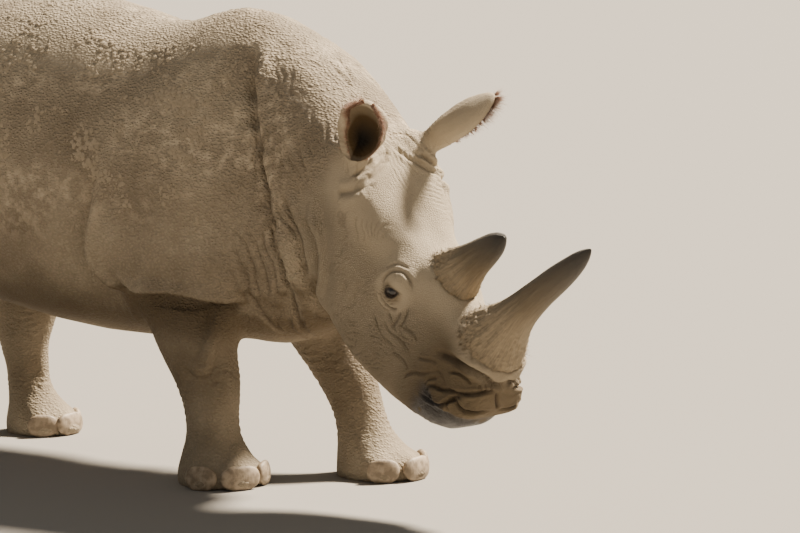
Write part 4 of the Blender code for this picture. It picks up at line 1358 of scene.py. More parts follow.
@dataclass
class HideSkin:
    """The one skin that stands for all nodes of flesh."""

    flesh: tuple[str, ...]
    voxel: float = 0.0062
    overlap: float = 0.001
    horn_lift: float = -0.006
    nail_inset: float = 0.005
    toe_swell: float = 0.026
    toe_reach: tuple[float, float, float] = (0.072, 0.072, 0.085)
    regions: tuple[Region, ...] = (
        Region("trunk", 36000), Region("legs", 29000), Region("neck", 47000), Region("head", 82000),
    )
    name: str = "skin"

    def plugs(self) -> list[bmesh.types.BMesh]:
        """Fillings for the sockets, so that the skin runs on under horns, eyes and nails.

        Returns:
            One bmesh for each.
        """
        made = []
        for node, base, lean in HORN_SEATS:
            bm = solid_of(node)
            grow(bm, self.overlap)
            place = HEAD_PLACE @ Matrix.Translation(base) @ Matrix.Rotation(math.radians(lean), 4, "Y")
            geometry = bm.verts[:] + bm.edges[:] + bm.faces[:]
            bmesh.ops.bisect_plane(
                bm, geom=geometry, plane_co=place @ Vector((0, 0, self.horn_lift)),
                plane_no=place.to_3x3() @ Vector((0, 0, 1)), clear_outer=True,
            )
            bmesh.ops.holes_fill(bm, edges=[e for e in bm.edges if e.is_boundary])
            made.append(bm)
        for node in frame["nodes"]:
            if node.startswith(("eye_", "nail_")):
                bm = solid_of(node)
                grow(bm, self.overlap)
                made.append(bm)
            if node.startswith("nail_"):
                inward = foot_middle(node) - sum((v.co for v in bm.verts), Vector()) / len(bm.verts)
                inward.z = 0
                bmesh.ops.translate(bm, verts=bm.verts, vec=inward.normalized() * self.nail_inset)
        return made

    def fused(self) -> bpy.types.Object:
        """Fuses the solids of flesh into one closed mesh on an even grid.

        Returns:
            The fused skin.
        """
        parts = [solid_of(node) for node in self.flesh]
        for part in parts:
            grow(part, self.overlap)
        bm = bmesh.new()
        for part in parts + self.plugs():
            mesh = bpy.data.meshes.new("part")
            part.to_mesh(mesh)
            part.free()
            bm.from_mesh(mesh)
            bpy.data.meshes.remove(mesh)
        piece = piece_from(bm, self.name)
        apply_modifier(piece, "REMESH", mode="VOXEL", voxel_size=self.voxel)
        return piece

    def soften(self, piece: bpy.types.Object) -> None:
        """Rounds off the flat faces of the solids, most on the trunk and least on the ears.

        Args:
            piece: The skin.
        """
        surface = Surface(piece.data)
        own = surface.points - np.array(BODY_ORIGIN)
        head = moved(surface.points, HEAD_PLACE.inverted())
        on_head = ramp(head[:, 0], -0.14, 0.04) * ramp(head[:, 2], -0.76, -0.64)
        on_ear = np.maximum(EARS[0].near(surface.points), EARS[1].near(surface.points))
        on_leg = ramp(own[:, 2], 0.66, 0.5) * (1 - on_head)
        on_tail = ramp(own[:, 0], -2.2, -2.225)
        on_foot = ramp(own[:, 2], 0.2, 0.14)
        flank = ramp(own[:, 0], 0.1, -0.15) * (1 - on_leg) * (1 - on_tail) * (1 - on_head)
        bottom = ramp(own[:, 2], 0.004, 0.012)
        surface.relax(flank * ramp(own[:, 2], 0.5, 0.75), 120)
        surface.relax((1 - on_head) * (1 - on_tail) * (1 - on_ear) * (1 - on_foot) * bottom, 30)
        surface.relax((1 - on_ear) * bottom, 12)
        surface.relax(bottom, 3)
        surface.write()

    def refine(self, piece: bpy.types.Object) -> None:
        """Divides the faces where the finest forms are: ears, eyes and muzzle.

        Args:
            piece: The skin.
        """
        for step in range(2):
            bm = bmesh.new()
            bm.from_mesh(piece.data)
            points = np.array([v.co for v in bm.verts])
            head = moved(points, HEAD_PLACE.inverted())
            eye_gap = np.minimum(
                *(np.linalg.norm(points - np.array(EyeSocket(side).centre()), axis=1) for side in Side)
            )
            if step == 0:
                chosen = (head[:, 0] > 0.68) & (head[:, 2] > -0.62)
                chosen |= np.maximum(EARS[0].near(points), EARS[1].near(points)) > 0.05
                chosen |= eye_gap < 0.115
                chosen |= (head[:, 0] > -0.06) & (head[:, 0] < 0.32) & (head[:, 2] > -0.13)
            else:
                chosen = eye_gap < 0.045
            edges = [e for e in bm.edges if chosen[e.verts[0].index] and chosen[e.verts[1].index]]
            bmesh.ops.subdivide_edges(bm, edges=edges, cuts=1, use_grid_fill=True)
            bm.to_mesh(piece.data)
            bm.free()
        surface = Surface(piece.data)
        head = moved(surface.points, HEAD_PLACE.inverted())
        surface.relax(ramp(head[:, 0], -0.15, -0.05) * ramp(head[:, 2], -0.76, -0.64), 4)
        surface.write()

    def lids(self, clay: Clay, socket: EyeSocket) -> None:
        """Draws the skin over the eyeball as two thick lids, and sinks it behind the opening.

        Args:
            clay: The skin's surface.
            socket: The eye.
        """
        centre = np.array(socket.centre())
        local = socket.local(clay.points)
        reach = np.linalg.norm(local, axis=1)
        near = np.flatnonzero((reach < 0.06) & (local[:, 2] > -0.012))
        spot = local[near]
        x = np.abs(spot[:, 0]) / socket.half_length
        height = socket.half_height * np.where(spot[:, 1] > 0, 1.0, 0.85)
        edge = (x**LASH_CURVE + (np.abs(spot[:, 1]) / height) ** LASH_CURVE) ** (1 / LASH_CURVE)
        open_here = ramp(edge, 1.1, 0.92) * ramp(spot[:, 2], 0.0, 0.006)
        lid_here = ramp(reach[near], 0.046, 0.027) * (1 - open_here)
        ball = socket.radius - 0.0028
        cover = socket.radius + socket.lid + 0.002 * ramp(spot[:, 1], 0.0, 0.012)
        cover = cover + 0.0025 * np.exp(-(((edge - 1.35) / 0.25) ** 2))
        goal = reach[near] * (1 - lid_here) + np.maximum(cover, reach[near]) * lid_here
        goal = goal * (1 - open_here) + ball * open_here
        clay.surface.points[near] = centre + (clay.points[near] - centre) * (goal / reach[near])[:, None]
        # painted shade: the rim round the eye's opening is darkened; it is also marked wet
        rim = np.zeros(len(clay.points))
        rim[near] = np.exp(-(((edge - 1.0) / 0.2) ** 2)) * ramp(spot[:, 2], 0.0, 0.006)
        clay.mark("furrow", rim * 0.9)
        clay.mark("wet", rim * 0.6)

    def form(self, clay: Clay) -> None:
        """Draws the ears to shape, and raises the swells of the body, the head and the toes.

        Args:
            clay: The skin's surface.
        """
        for ear in EARS:
            clay.mark("ear_inside", ear.inside(clay.points))
            clay.surface.points[:] = ear.reshaped(clay.points)
        for swell in (*BODY_FORMS, *HEAD_FORMS):
            clay.swell(swell)
        level = clay.out * np.array([1, 1, 0])
        for node in frame["nodes"]:
            if node.startswith("nail_"):
                low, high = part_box(node)
                gap = (clay.points - np.array((low + high) / 2)) / np.array(self.toe_reach)
                clay.surface.points += level * (self.toe_swell * np.exp(-np.sum(gap**2, axis=1)))[:, None]
        calm = (1 - clay.on_head) * ramp(clay.own[:, 2], 0.55, 0.7)
        clay.push(calm * (0.005 * noise(clay.own, 0.3, 1, 2) + 0.0018 * noise(clay.own, 0.07, 2, 2)))
        clay.push(clay.on_head * 0.0016 * noise(clay.own, 0.06, 4, 2))

    def wrinkle(self, clay: Clay) -> None:
        """Covers the skin with its finer wrinkles, each set along its own direction.

        Args:
            clay: The skin's surface.
        """
        u, w, v = clay.head.T
        x, y, z = clay.own.T
        off_ear = 1 - clay.on_ear
        neck = self.on_neck(clay)
        ring = x - np.interp(z, NECK_FOLD_HEIGHTS, NECK_FOLD_PLACES)
        clay.wrinkles(ring, neck * ramp(z, 1.45, 1.15), NECK_PLEATS)
        clay.wrinkles(ring, neck * ramp(z, 1.15, 1.4), NAPE_PLEATS)
        clay.wrinkles(z + 0.3 * x, neck, NECK_RINGS)
        shoulder = ramp(x, -0.55, -0.35) * ramp(x, 0.3, 0.1) * ramp(z, 0.6, 0.7) * ramp(z, 1.5, 1.2)
        clay.wrinkles(z, shoulder, SHOULDER_LINES)
        for leg in LEGS:
            on_leg = ramp(leg.off(clay.points), 0.3, 0.24) * ramp(z, 0.72, 0.55) * ramp(z, 0.1, 0.16)
            at_joint = np.exp(-(((z - leg.joint) / 0.1) ** 2))
            rings = np.maximum(at_joint, 0.9 * np.exp(-(((z - 0.19) / 0.06) ** 2)))
            clay.wrinkles(z, on_leg * (0.35 + 0.65 * rings), LEG_RINGS)
            clay.wrinkles(x + y, on_leg * 0.6, LEG_LINES)
        muzzle = ramp(u, 0.6, 0.8) * ramp(v, -0.6, -0.45) * off_ear
        clay.wrinkles(u - 0.4 * v, muzzle * 0.7, MUZZLE_LINES)
        cheek = clay.on_head * ramp(u, 0.55, 0.35) * ramp(np.abs(w), 0.1, 0.16) * off_ear
        clay.wrinkles(u + 0.2 * v, cheek, CHEEK_LINES)
        side_face = clay.on_head * ramp(np.abs(w), 0.09, 0.14) * ramp(v, -0.1, -0.2) * ramp(u, 0.3, 0.45)
        clay.wrinkles(u - v, side_face * ramp(u, 0.8, 0.7), FACE_LINES)
        poll_gap = np.linalg.norm(clay.head - np.array(EARS[1].base), axis=1)
        poll = clay.on_head * ramp(poll_gap, 0.08, 0.11) * ramp(poll_gap, 0.34, 0.2) * off_ear
        clay.wrinkles(poll_gap, poll * ramp(v, -0.12, -0.04), POLL_ARCS)
        for ear in EARS:
            local = moved(clay.points, ear.place().inverted())
            base = ramp(local[:, 2], -0.01, 0.02) * ramp(local[:, 2], 0.1, 0.06)
            base = base * ramp(np.hypot(local[:, 0], local[:, 1]), 0.12, 0.085)
            clay.wrinkles(local[:, 2], base, EAR_RINGS)

    def on_neck(self, clay: Clay) -> np.ndarray:
        """1 on the neck and chest, 0 on the head, ears, legs and trunk.

        Args:
            clay: The skin's surface.

        Returns:
            One number for each vertex.
        """
        x, _, z = clay.own.T
        neck = ramp(x, 0.02, 0.22) * (1 - clay.on_head) * ramp(z, 0.5, 0.6)
        return neck * (1 - clay.on_ear)

    def shade_and_stain(self, clay: Clay) -> None:
        """Marks where the skin is wet, muddy, darker, painted with shade, smooth or netted, for its material.

        Args:
            clay: The skin's surface.
        """
        own = clay.own
        u, _, v = clay.head.T
        x, _, z = own.T
        off_head = 1 - clay.on_head
        clay.mark("face", clay.on_head)
        lip = ramp(u, 0.74, 0.82) * ramp(v, -0.25, -0.3)
        clay.mark("wet", lip * ramp(noise(own, 0.03, 8, 2), -0.8, -0.2))
        clay.mark("mud", off_head * ramp(z, 0.75, 1.0) * ramp(noise(own, 0.22, 9, 3), -0.1, 0.3))
        # the legs are darker below the body, unevenly
        legs = 0.6 * ramp(z, 0.75, 0.45) * ramp(z, 0.02, 0.2)
        clay.mark("low", legs * (0.7 + 0.5 * noise(own, 0.15, 14, 2)))
        # painted shade on the belly, where the skin faces down
        clay.mark("low", off_head * ramp(clay.out[:, 2], -0.35, -0.85) * ramp(z, 0.45, 0.6))  # the belly
        # painted shadow under the roll over the elbow
        sleeve = ramp(x, -0.42, -0.34) * ramp(x, 0.16, 0.09) * ramp(z, 0.705, 0.665) * ramp(z, 0.42, 0.6)
        clay.mark("low", 0.9 * sleeve)
        # painted shade on the muzzle
        clay.mark("low", ramp(u, 0.52, 0.8) * ramp(v, -0.05, -0.13))  # the muzzle
        clay.mark("net", 0.35 * self.on_neck(clay) * ramp(z, 1.3, 1.0))
        clay.mark("net", 0.25 * off_head * ramp(z, 0.62, 0.5))
        clay.mark("calm", clay.on_head * (0.2 + 0.4 * ramp(u, 0.6, 0.8)))
        clay.mark("calm", 0.72 * clay.on_head * ramp(v, -0.22, -0.06))  # the top of the head
        clay.mark("calm", 0.4 * ramp(z, 0.62, 0.5))
        clay.mark("calm", 0.85 * clay.on_ear)
        for side in Side:
            gap = np.linalg.norm(clay.points - np.array(EyeSocket(side).centre()), axis=1)
            clay.mark("calm", 0.85 * ramp(gap, 0.1, 0.06))
            # painted shade round the eye
            clay.mark("low", 0.7 * ramp(gap, 0.055, 0.03))

    def shape(self, piece: bpy.types.Object) -> Clay:
        """Models the forms, lids, folds, wrinkles and marks of the skin.

        Args:
            piece: The softened skin.

        Returns:
            The finished surface and its marks.
        """
        clay = Clay(piece)
        self.form(clay)
        for side in Side:
            self.lids(clay, EyeSocket(side))
        clay.settle()
        for fold in (*BODY_FOLDS, *POLL_FOLDS, *EAR_FOLDS, *EYE_FOLDS, *MUZZLE_FOLDS):
            clay.fold(fold)
        clay.settle()
        self.wrinkle(clay)
        self.shade_and_stain(clay)
        clay.surface.points[:, 2] = np.maximum(clay.surface.points[:, 2], 0.0)
        clay.surface.write()
        return clay

    def thin(self, piece: bpy.types.Object) -> None:
        """Takes each region of the skin down to its number of triangles.

        Args:
            piece: The skin.
        """
        for region in self.regions:
            inside = self.inside(rows_of(piece.data.vertices, "co", 3), region.name)
            corners = rows_of(piece.data.loops, "vertex_index", 1, np.int32)[:, 0]
            sizes = rows_of(piece.data.polygons, "loop_total", 1, np.int32)[:, 0]
            starts = np.concatenate([[0], np.cumsum(sizes)[:-1]])
            touched = np.add.reduceat(inside[corners].astype(int), starts) > 0
            total = int((sizes - 2).sum())
            chosen = int((sizes - 2)[touched].sum())
            if chosen <= region.triangles:
                continue
            group = piece.vertex_groups.new(name=region.name)
            group.add([int(i) for i in np.flatnonzero(inside)], 1.0, "REPLACE")
            apply_modifier(
                piece, "DECIMATE", decimate_type="COLLAPSE", vertex_group=region.name,
                ratio=(total - chosen + region.triangles) / total, vertex_group_factor=0.00001,
            )
            piece.vertex_groups.clear()

    @staticmethod
    def inside(points: np.ndarray, region: str) -> np.ndarray:
        """Which points are in a region.

        Args:
            points: Rows of coordinates in the frame.
            region: The region's name.

        Returns:
            True or False for each point.
        """
        own = points - np.array(BODY_ORIGIN)
        head = moved(points, HEAD_PLACE.inverted())
        on_head = (head[:, 0] > -0.05) & (head[:, 2] > -0.7)
        legs = (own[:, 2] < 0.6) & ~on_head
        neck = (own[:, 0] > -0.1) & ~on_head & ~legs
        return {"head": on_head, "legs": legs, "neck": neck, "trunk": ~(on_head | legs | neck)}[region]

    def build(self) -> bpy.types.Object:
        """Makes the whole skin.

        Returns:
            The piece.
        """
        piece = self.fused()
        log.info("fused: %d faces", len(piece.data.polygons))
        self.soften(piece)
        self.refine(piece)
        clay = self.shape(piece)
        log.info("shaped: %d vertices", len(clay.points))
        for name, values in clay.marks.items():
            set_attribute(piece.data, name, values)
        self.thin(piece)
        piece.data.shade_smooth()
        return finished(piece, DustyHide().material(), self.flesh)


# ---------------- horns, nails and eyes
@dataclass
class Horn:
    """A horn: a finer copy of its solid, grooved along its fibres and frayed at its foot."""

    node: str
    base: tuple[float, float, float]
    lean: float
    length: float
    material: bpy.types.Material
    blunt: float = 0.14
    voxel: float = 0.0038
    groove: float = 0.003

    def place(self) -> Matrix:
        """The horn's own axes in the frame: Z up the horn."""
        tilt = Matrix.Rotation(math.radians(self.lean), 4, "Y")
        return HEAD_PLACE @ Matrix.Translation(self.base) @ tilt

    def build(self) -> bpy.types.Object:
        """Makes the horn, as a piece that replaces its node.

        Returns:
            The piece.
        """
        piece = piece_from(solid_of(self.node), f"{self.node}_fibrous")
        apply_modifier(piece, "REMESH", mode="VOXEL", voxel_size=self.voxel)
        surface = Surface(piece.data)
        surface.relax(np.ones(len(surface.points)), 30)
        own = moved(surface.points, self.place().inverted())
        share = own[:, 2] / self.length
        steps = np.linspace(-0.1, 1.05, 24)
        slices = [own[np.abs(share - step) < 0.05][:, :2] for step in steps]
        kept = [k for k, part in enumerate(slices) if len(part)]
        middles = np.array([(slices[k].min(axis=0) + slices[k].max(axis=0)) / 2 for k in kept])
        axis = np.stack([np.interp(share, steps[kept], middles[:, k]) for k in range(2)], axis=1)
        off = own[:, :2] - axis
        own[:, :2] = axis + off * (1 + self.blunt * ramp(share, 0.3, 0.9))[:, None]
        surface.points[:] = moved(own, self.place())
        angle = np.arctan2(off[:, 1], off[:, 0])
        ring = np.stack([np.cos(angle), np.sin(angle)], axis=1) * 0.085
        grain = np.column_stack([ring, own[:, 2] * 0.1])
        rough = 0.2 + 0.8 * ramp(share, 0.65, 0.15)
        fibres = noise(grain, 0.013, 3, 2) * rough
        slabs = noise(grain * np.array([1, 1, 2.2]), 0.035, 5, 2) * ramp(share, 0.8, 0.2)
        foot = ramp(share, 0.22, 0.02)
        rags = noise(own, 0.02, 7, 3) * foot + 0.6 * noise(own, 0.008, 8, 1) * ramp(share, 0.4, 0.1)
        normals = surface.normals()
        amount = self.groove * (fibres + 0.9 * slabs + 1.6 * rags) + 0.003 * foot
        surface.points += normals * amount[:, None]
        surface.write()
        rubbed = ramp(np.cos(angle - math.pi), 0.1, 0.9) * ramp(share, 0.12, 0.3)
        set_attribute(piece.data, "rubbed", rubbed * (0.8 + 0.6 * noise(own, 0.05, 6, 2)))
        set_attribute(piece.data, "grain", grain)
        set_attribute(piece.data, "along", np.clip(share, 0, 1))
        piece.data.shade_smooth()
        return finished(piece, self.material, (self.node,))


@dataclass
class Toenail:
    """A toenail: its solid, rounded off, and drawn broad and low on the toe."""

    node: str
    material: bpy.types.Material
    proud: float = 0.0012
    broad: float = 1.45
    tall: float = 1.32
    step: float = 0.021  # how far it moves out with the toe
    flat: float = 0.7

    def build(self) -> bpy.types.Object:
        """Makes the nail, as a piece that replaces its node.

        Returns:
            The piece.
        """
        bm = solid_of(self.node)
        grow(bm, self.proud)
        bmesh.ops.subdivide_edges(bm, edges=bm.edges, cuts=2, use_grid_fill=True, smooth=1.0)
        bmesh.ops.smooth_vert(
            bm, verts=bm.verts, factor=0.5, use_axis_x=True, use_axis_y=True, use_axis_z=True
        )
        low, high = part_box(self.node)
        middle = (low + high) / 2
        out = middle - foot_middle(self.node)
        out = Vector((out.x, out.y, 0)).normalized()
        across = Vector((-out.y, out.x, 0))
        for vertex in bm.verts:
            gap = vertex.co - middle
            side = gap.dot(across)
            front = gap.dot(out)
            vertex.co += across * side * (self.broad - 1) + out * self.step
            vertex.co.z *= self.tall
            vertex.co -= out * (max(front, 0.0) * (1 - self.flat) + 3.2 * side * side)
        piece = piece_from(bm, self.node.replace("nail_", "toenail_"))
        piece.data.shade_smooth()
        return finished(piece, self.material, (self.node,))


@dataclass
class Eyeball:
    """An eyeball with the swell of its cornea."""

    socket: EyeSocket
    material: bpy.types.Material
    cornea: float = 0.0012

    def build(self) -> bpy.types.Object:
        """Makes the eye, as a piece that replaces its node.

        Returns:
            The piece.
        """
        bm = bmesh.new()
        bmesh.ops.create_uvsphere(bm, u_segments=48, v_segments=32, radius=self.socket.radius)
        off_axis = []
        for vertex in bm.verts:
            reach = math.atan2(math.hypot(vertex.co.x, vertex.co.y), vertex.co.z) / (math.pi / 2)
            off_axis.append(min(1.0, reach))
            vertex.co *= 1 + self.cornea / self.socket.radius * math.exp(-((reach / 0.4) ** 2))
        bm.transform(Matrix.Translation(self.socket.centre()) @ self.socket.axes().to_4x4())
        bmesh.ops.recalc_face_normals(bm, faces=bm.faces)
        side = self.socket.side.name.lower()
        piece = piece_from(bm, f"eyeball_{side}")
        set_attribute(piece.data, "off_axis", np.array(off_axis))
        piece.data.shade_smooth()
        return finished(piece, self.material, (f"eye_{side}",))


# ---------------- hair
@dataclass(frozen=True)
class Lock:
    """One lock of hair: where it is rooted, how it leaves the skin and where it bends."""

    root: Vector
    way: Vector
    bend: Vector
    length: float
    width: float
    spot: tuple[float, float]  # the root's place on the unwrapped skin, from 0 to 1


@dataclass
class HairPiece:
    """Many locks, joined into one piece."""

    name: str
    slot: str
    material: bpy.types.Material
    seed: int
    stations: int = 5
    patch: float = 0.003  # width of a lock's place on the unwrap

    def template(self) -> tuple[np.ndarray, list[tuple[int, ...]]]:
        """A single straight lock along Z, one long and one wide.

        Returns:
            Its vertices and its faces.
        """
        bm = bmesh.new()
        bmesh.ops.create_cone(
            bm, cap_ends=True, segments=4, radius1=0.5, radius2=0.06, depth=1.0,
            matrix=Matrix.Translation((0, 0, 0.5)),
        )
        uprights = [e for e in bm.edges if abs(e.verts[0].co.z - e.verts[1].co.z) > 0.5]
        bmesh.ops.subdivide_edges(bm, edges=uprights, cuts=self.stations - 2)
        bmesh.ops.triangulate(bm, faces=bm.faces)
        points = np.array([v.co for v in bm.verts])
        faces = [tuple(v.index for v in f.verts) for f in bm.faces]
        bm.free()
        return points, faces

    def build(self, locks: list[Lock], replaced: tuple[str, ...] = ()) -> bpy.types.Object:
        """Makes the piece.

        Args:
            locks: All its locks.
            replaced: The nodes that it stands for.

        Returns:
            The piece.
        """
        rng = np.random.default_rng(self.seed)
        points, faces = self.template()
        all_points, all_faces, along, shade, spots = [], [], [], [], []
        for lock in locks:
            way = lock.way.normalized()
            across = way.orthogonal().normalized()
            across.rotate(Matrix.Rotation(rng.uniform(0, math.tau), 3, way))
            third = way.cross(across)
            t = points[:, 2]
            middle = (
                np.array(lock.root)
                + np.outer(t, way) * lock.length
                + np.outer(t**2, lock.bend) * lock.length
            )
            swell = lock.width * (0.75 + 0.5 * np.sin(np.pi * np.clip(t * 1.1, 0, 1)))
            ring = np.outer(points[:, 0] * swell, across) + np.outer(points[:, 1] * swell * 0.6, third)
            offset = len(all_points) * len(points)
            all_points.append(middle + ring)
            all_faces += [tuple(offset + k for k in face) for face in faces]
            along.append(t)
            shade.append(np.full(len(t), rng.random()))
            patch = np.array(lock.spot) + (points[:, :2] * 0.5 + points[:, 2:] * 0.2) * self.patch
            spots.append(patch)
        mesh = bpy.data.meshes.new(self.name)
        mesh.from_pydata(np.concatenate(all_points).tolist(), [], all_faces)
        mesh.update()
        set_attribute(mesh, "along", np.concatenate(along))
        set_attribute(mesh, "shade", np.concatenate(shade))
        corners = rows_of(mesh.loops, "vertex_index", 1, np.int32)[:, 0]
        unwrap = mesh.uv_layers.new(name="OFBake")
        places = np.clip(np.concatenate(spots)[corners], 0, 1)
        unwrap.data.foreach_set("uv", places.astype(np.float32).ravel())
        mesh.shade_smooth()
        return finished(linked(self.name, mesh), self.material, replaced)


@dataclass
class EarFringe:
    """The fringe of hair along an ear's rim."""

    ear: EarShape
    skin: BVHTree
    count: int = 1800
    longest: float = 0.038

    def locks(self) -> list[Lock]:
        """Places the fringe's locks.

        Returns:
            The locks.
        """
        rng = np.random.default_rng(12)
        place = self.ear.place()
        outside = np.array(self.ear.outside)
        locks = []
        for _ in range(self.count):
            side = rng.choice((-1.0, 1.0))
            share = 1.0 - 0.72 * rng.random() ** 1.6
            width, depth = (np.interp(share, outside[:, 0], outside[:, k]) for k in (1, 2))
            angle = side * math.radians(rng.uniform(34, 58))
            spot = Vector((depth * math.cos(angle), width * math.sin(angle), share * self.ear.length))
            stray = [rng.normal(0, spread) for spread in (0.2, 0.25, 0.25)]
            out = Vector((0.5 + stray[0], side * (0.7 + stray[1]), 0.35 + stray[2]))
            tipward = ramp(np.array([share]), 0.35, 0.9)[0]
            out.z += 0.8 * ramp(np.array([share]), 0.85, 1.0)[0]
            shifted = self.ear.reshaped(np.array([place @ spot]))[0]
            root = self.skin.find_nearest(Vector(shifted))[0]
            way = (place.to_3x3() @ out).normalized()
            bend = Vector(rng.normal(0, 0.22, 3)) + Vector((0, 0, -0.15))
            length = self.longest * (0.35 + 0.65 * tipward) * rng.uniform(0.5, 1.15)
            unwrapped = ((angle / math.tau + 0.5) * 0.9 + 0.05, share * 0.9 + 0.05)
            locks.append(Lock(root - way * 0.002, way, bend, length, 0.0011, unwrapped))
        return locks


@dataclass
class HornFringe:
    """The ring of frayed fibres where a horn grows out of the hide."""

    horn: Horn
    surface: BVHTree
    count: int
    longest: float = 0.02

    def locks(self) -> list[Lock]:
        """Places the fibres.

        Returns:
            The locks.
        """
        rng = np.random.default_rng(21)
        place = self.horn.place()
        turn = place.to_3x3()
        locks = []
        for _ in range(self.count):
            angle = rng.uniform(0, math.tau)
            height = rng.uniform(-0.06, 0.015) + 0.05 * rng.random() ** 3
            round_it = Vector((math.cos(angle), math.sin(angle), 0))
            spot = place @ (round_it * 0.17 + Vector((0, 0, height)))
            root, out = self.surface.find_nearest(spot)[:2]
            loose = Vector(rng.normal(0, 0.35, 3))
            way = out * 0.55 + turn @ (round_it * 0.3 + Vector((0, 0, rng.normal(-0.35, 0.6)))) + loose
            long = 2.2 if rng.random() < 0.05 else 1.0
            length = self.longest * rng.uniform(0.35, 1.0) * long
            bend = Vector(rng.normal(0, 0.25, 3))
            unwrapped = (angle / math.tau * 0.9 + 0.05, 0.1 + 0.8 * rng.random())
            locks.append(Lock(root - out * 0.002, way, bend, length, 0.0012, unwrapped))
        return locks


@dataclass
class Lashes:
    """The short lashes along an upper lid."""

    socket: EyeSocket
    count: int = 90

    def locks(self) -> list[Lock]:
        """Places the lashes.

        Returns:
            The locks.
        """
        rng = np.random.default_rng(8)
        socket = self.socket
        turn = socket.axes()
        reach = socket.radius + socket.lid - 0.001
        locks = []
        for _ in range(self.count):
            share = rng.uniform(-0.92, 0.75)
            x = share * socket.half_length
            y = socket.half_height * (1 - abs(share) ** LASH_CURVE) ** (1 / LASH_CURVE) * 1.12
            y += rng.uniform(0, 0.002)
            z = math.sqrt(max(reach**2 - x**2 - y**2, 1e-6))
            way = turn @ Vector((0.5 * share, 0.35 + rng.normal(0, 0.15), 0.9))
            bend = turn @ Vector((0, -0.25, 0))
            root = socket.centre() + turn @ Vector((x, y, z))
            spot = (0.5 + 0.4 * share, 0.5)
            locks.append(Lock(root, way, bend, rng.uniform(0.006, 0.013), 0.0008, spot))
        return locks


@dataclass
class MudCrust:
    """Crumbs and flakes of dried mud stuck to the back and shoulders."""

    skin: bpy.types.Object
    material: bpy.types.Material
    count: int = 8200
    smallest: float = 0.004
    largest: float = 0.013
    patches: tuple[tuple[tuple[float, float, float], float], ...] = (  # middle and reach, own axes
        ((-0.19, -0.32, 1.46), 0.2), ((-0.12, -0.4, 1.22), 0.13), ((-0.7, -0.38, 1.44), 0.22),
        ((-0.98, -0.45, 1.25), 0.2), ((-0.45, -0.42, 1.2), 0.12), ((-0.35, 0.36, 1.44), 0.2),
        ((-0.9, 0.42, 1.3), 0.24), ((-1.6, 0.3, 1.42), 0.16),
    )
    name: str = "mud_crust"

    def build(self) -> bpy.types.Object:
        """Makes the crumbs, as one piece.

        Returns:
            The piece.
        """
        rng = np.random.default_rng(17)
        mesh = self.skin.data
        centres = rows_of(mesh.polygons, "center", 3)
        normals = rows_of(mesh.polygons, "normal", 3)
        areas = rows_of(mesh.polygons, "area", 1)[:, 0]
        own = centres - np.array(BODY_ORIGIN)
        gaps = ((own - np.array(middle)) / reach for middle, reach in self.patches)
        near = sum(np.exp(-np.sum(gap**2, axis=1)) for gap in gaps)
        likely = areas * (near + 0.02 * (own[:, 2] > 0.9) * (own[:, 0] < 0.05))
        likely = likely * ramp(noise(own, 0.11, 9, 2), -0.05, 0.35)
        likely = likely * ramp(noise(own, 0.035, 10, 1), -0.4, 0.3)
        chosen = rng.choice(len(likely), self.count, p=likely / likely.sum())
        ball = bmesh.new()
        bmesh.ops.create_icosphere(ball, subdivisions=1, radius=1.0)
        shape = np.array([v.co for v in ball.verts])
        faces = np.array([[v.index for v in f.verts] for f in ball.faces])
        ball.free()
        points, corners = [], []
        for k, face in enumerate(chosen):
            out = Vector(normals[face])
            first = out.orthogonal().normalized()
            first.rotate(Matrix.Rotation(rng.uniform(0, math.tau), 3, out))
            second = out.cross(first)
            size = self.smallest + (self.largest - self.smallest) * rng.random() ** 2.5
            knobs = shape * (0.82 + 0.36 * rng.random((len(shape), 1)))
            knobs = knobs * np.array([size, size * rng.uniform(0.45, 1.0), size * rng.uniform(0.16, 0.3)])
            spot = centres[face] + np.array(out) * 0.0005
            points.append(spot + knobs @ np.array([first, second, out]))
            corners.append(faces + k * len(shape))
        made = bpy.data.meshes.new(self.name)
        made.from_pydata(np.concatenate(points).tolist(), [], np.concatenate(corners).tolist())
        made.update()
        return finished(linked(self.name, made), self.material)


@dataclass
class TailTuft:
    """The two-sided brush of stiff bristles at the end of the tail."""

    count: int = 420

    def locks(self) -> list[Lock]:
        """Places the tuft's bristles.

        Returns:
            The locks.
        """
        rng = np.random.default_rng(5)
        low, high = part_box("tail_tuft")
        middle = (low + high) / 2
        locks = []
        for _ in range(self.count):
            share = rng.random() ** 0.8
            angle = rng.uniform(0, math.tau)
            height = high.z + 0.025 - share * (high.z - low.z) * 0.55
            thick = 0.015 * (1 - 0.35 * share)
            root = Vector((middle.x + thick * math.cos(angle), middle.y + thick * math.sin(angle), height))
            way = Vector((0.1 * math.cos(angle), 0.24 * math.sin(angle), -1.0))
            way += Vector(rng.normal(0, 0.06, 3))
            reach = (height - low.z) * rng.uniform(0.55, 1.0)
            bend = Vector((0.02 * math.cos(angle), -0.05 * math.sin(angle), 0))
            unwrapped = (angle / math.tau * 0.9 + 0.05, 0.05 + 0.9 * share)
            locks.append(Lock(root, way, bend, reach, 0.0028, unwrapped))
        return locks


# ---------------- the studio
@dataclass(frozen=True)
class SoftLight:
    """A large soft lamp, by where it stands and what it looks at."""

    name: str
    place: tuple[float, float, float]
    aim: tuple[float, float, float]
    width: float
    power: float
    colour: str

    def build(self) -> None:
        """Makes the lamp."""
        lamp = bpy.data.lights.new(self.name, "AREA")
        lamp.size = self.width
        lamp.energy = self.power
        lamp.color = linear(self.colour)[:3]
        stand = linked(self.name, lamp)
        stand.location = self.place
        stand.rotation_mode = "QUATERNION"
        stand.rotation_quaternion = (Vector(self.aim) - Vector(self.place)).to_track_quat("-Z", "Y")


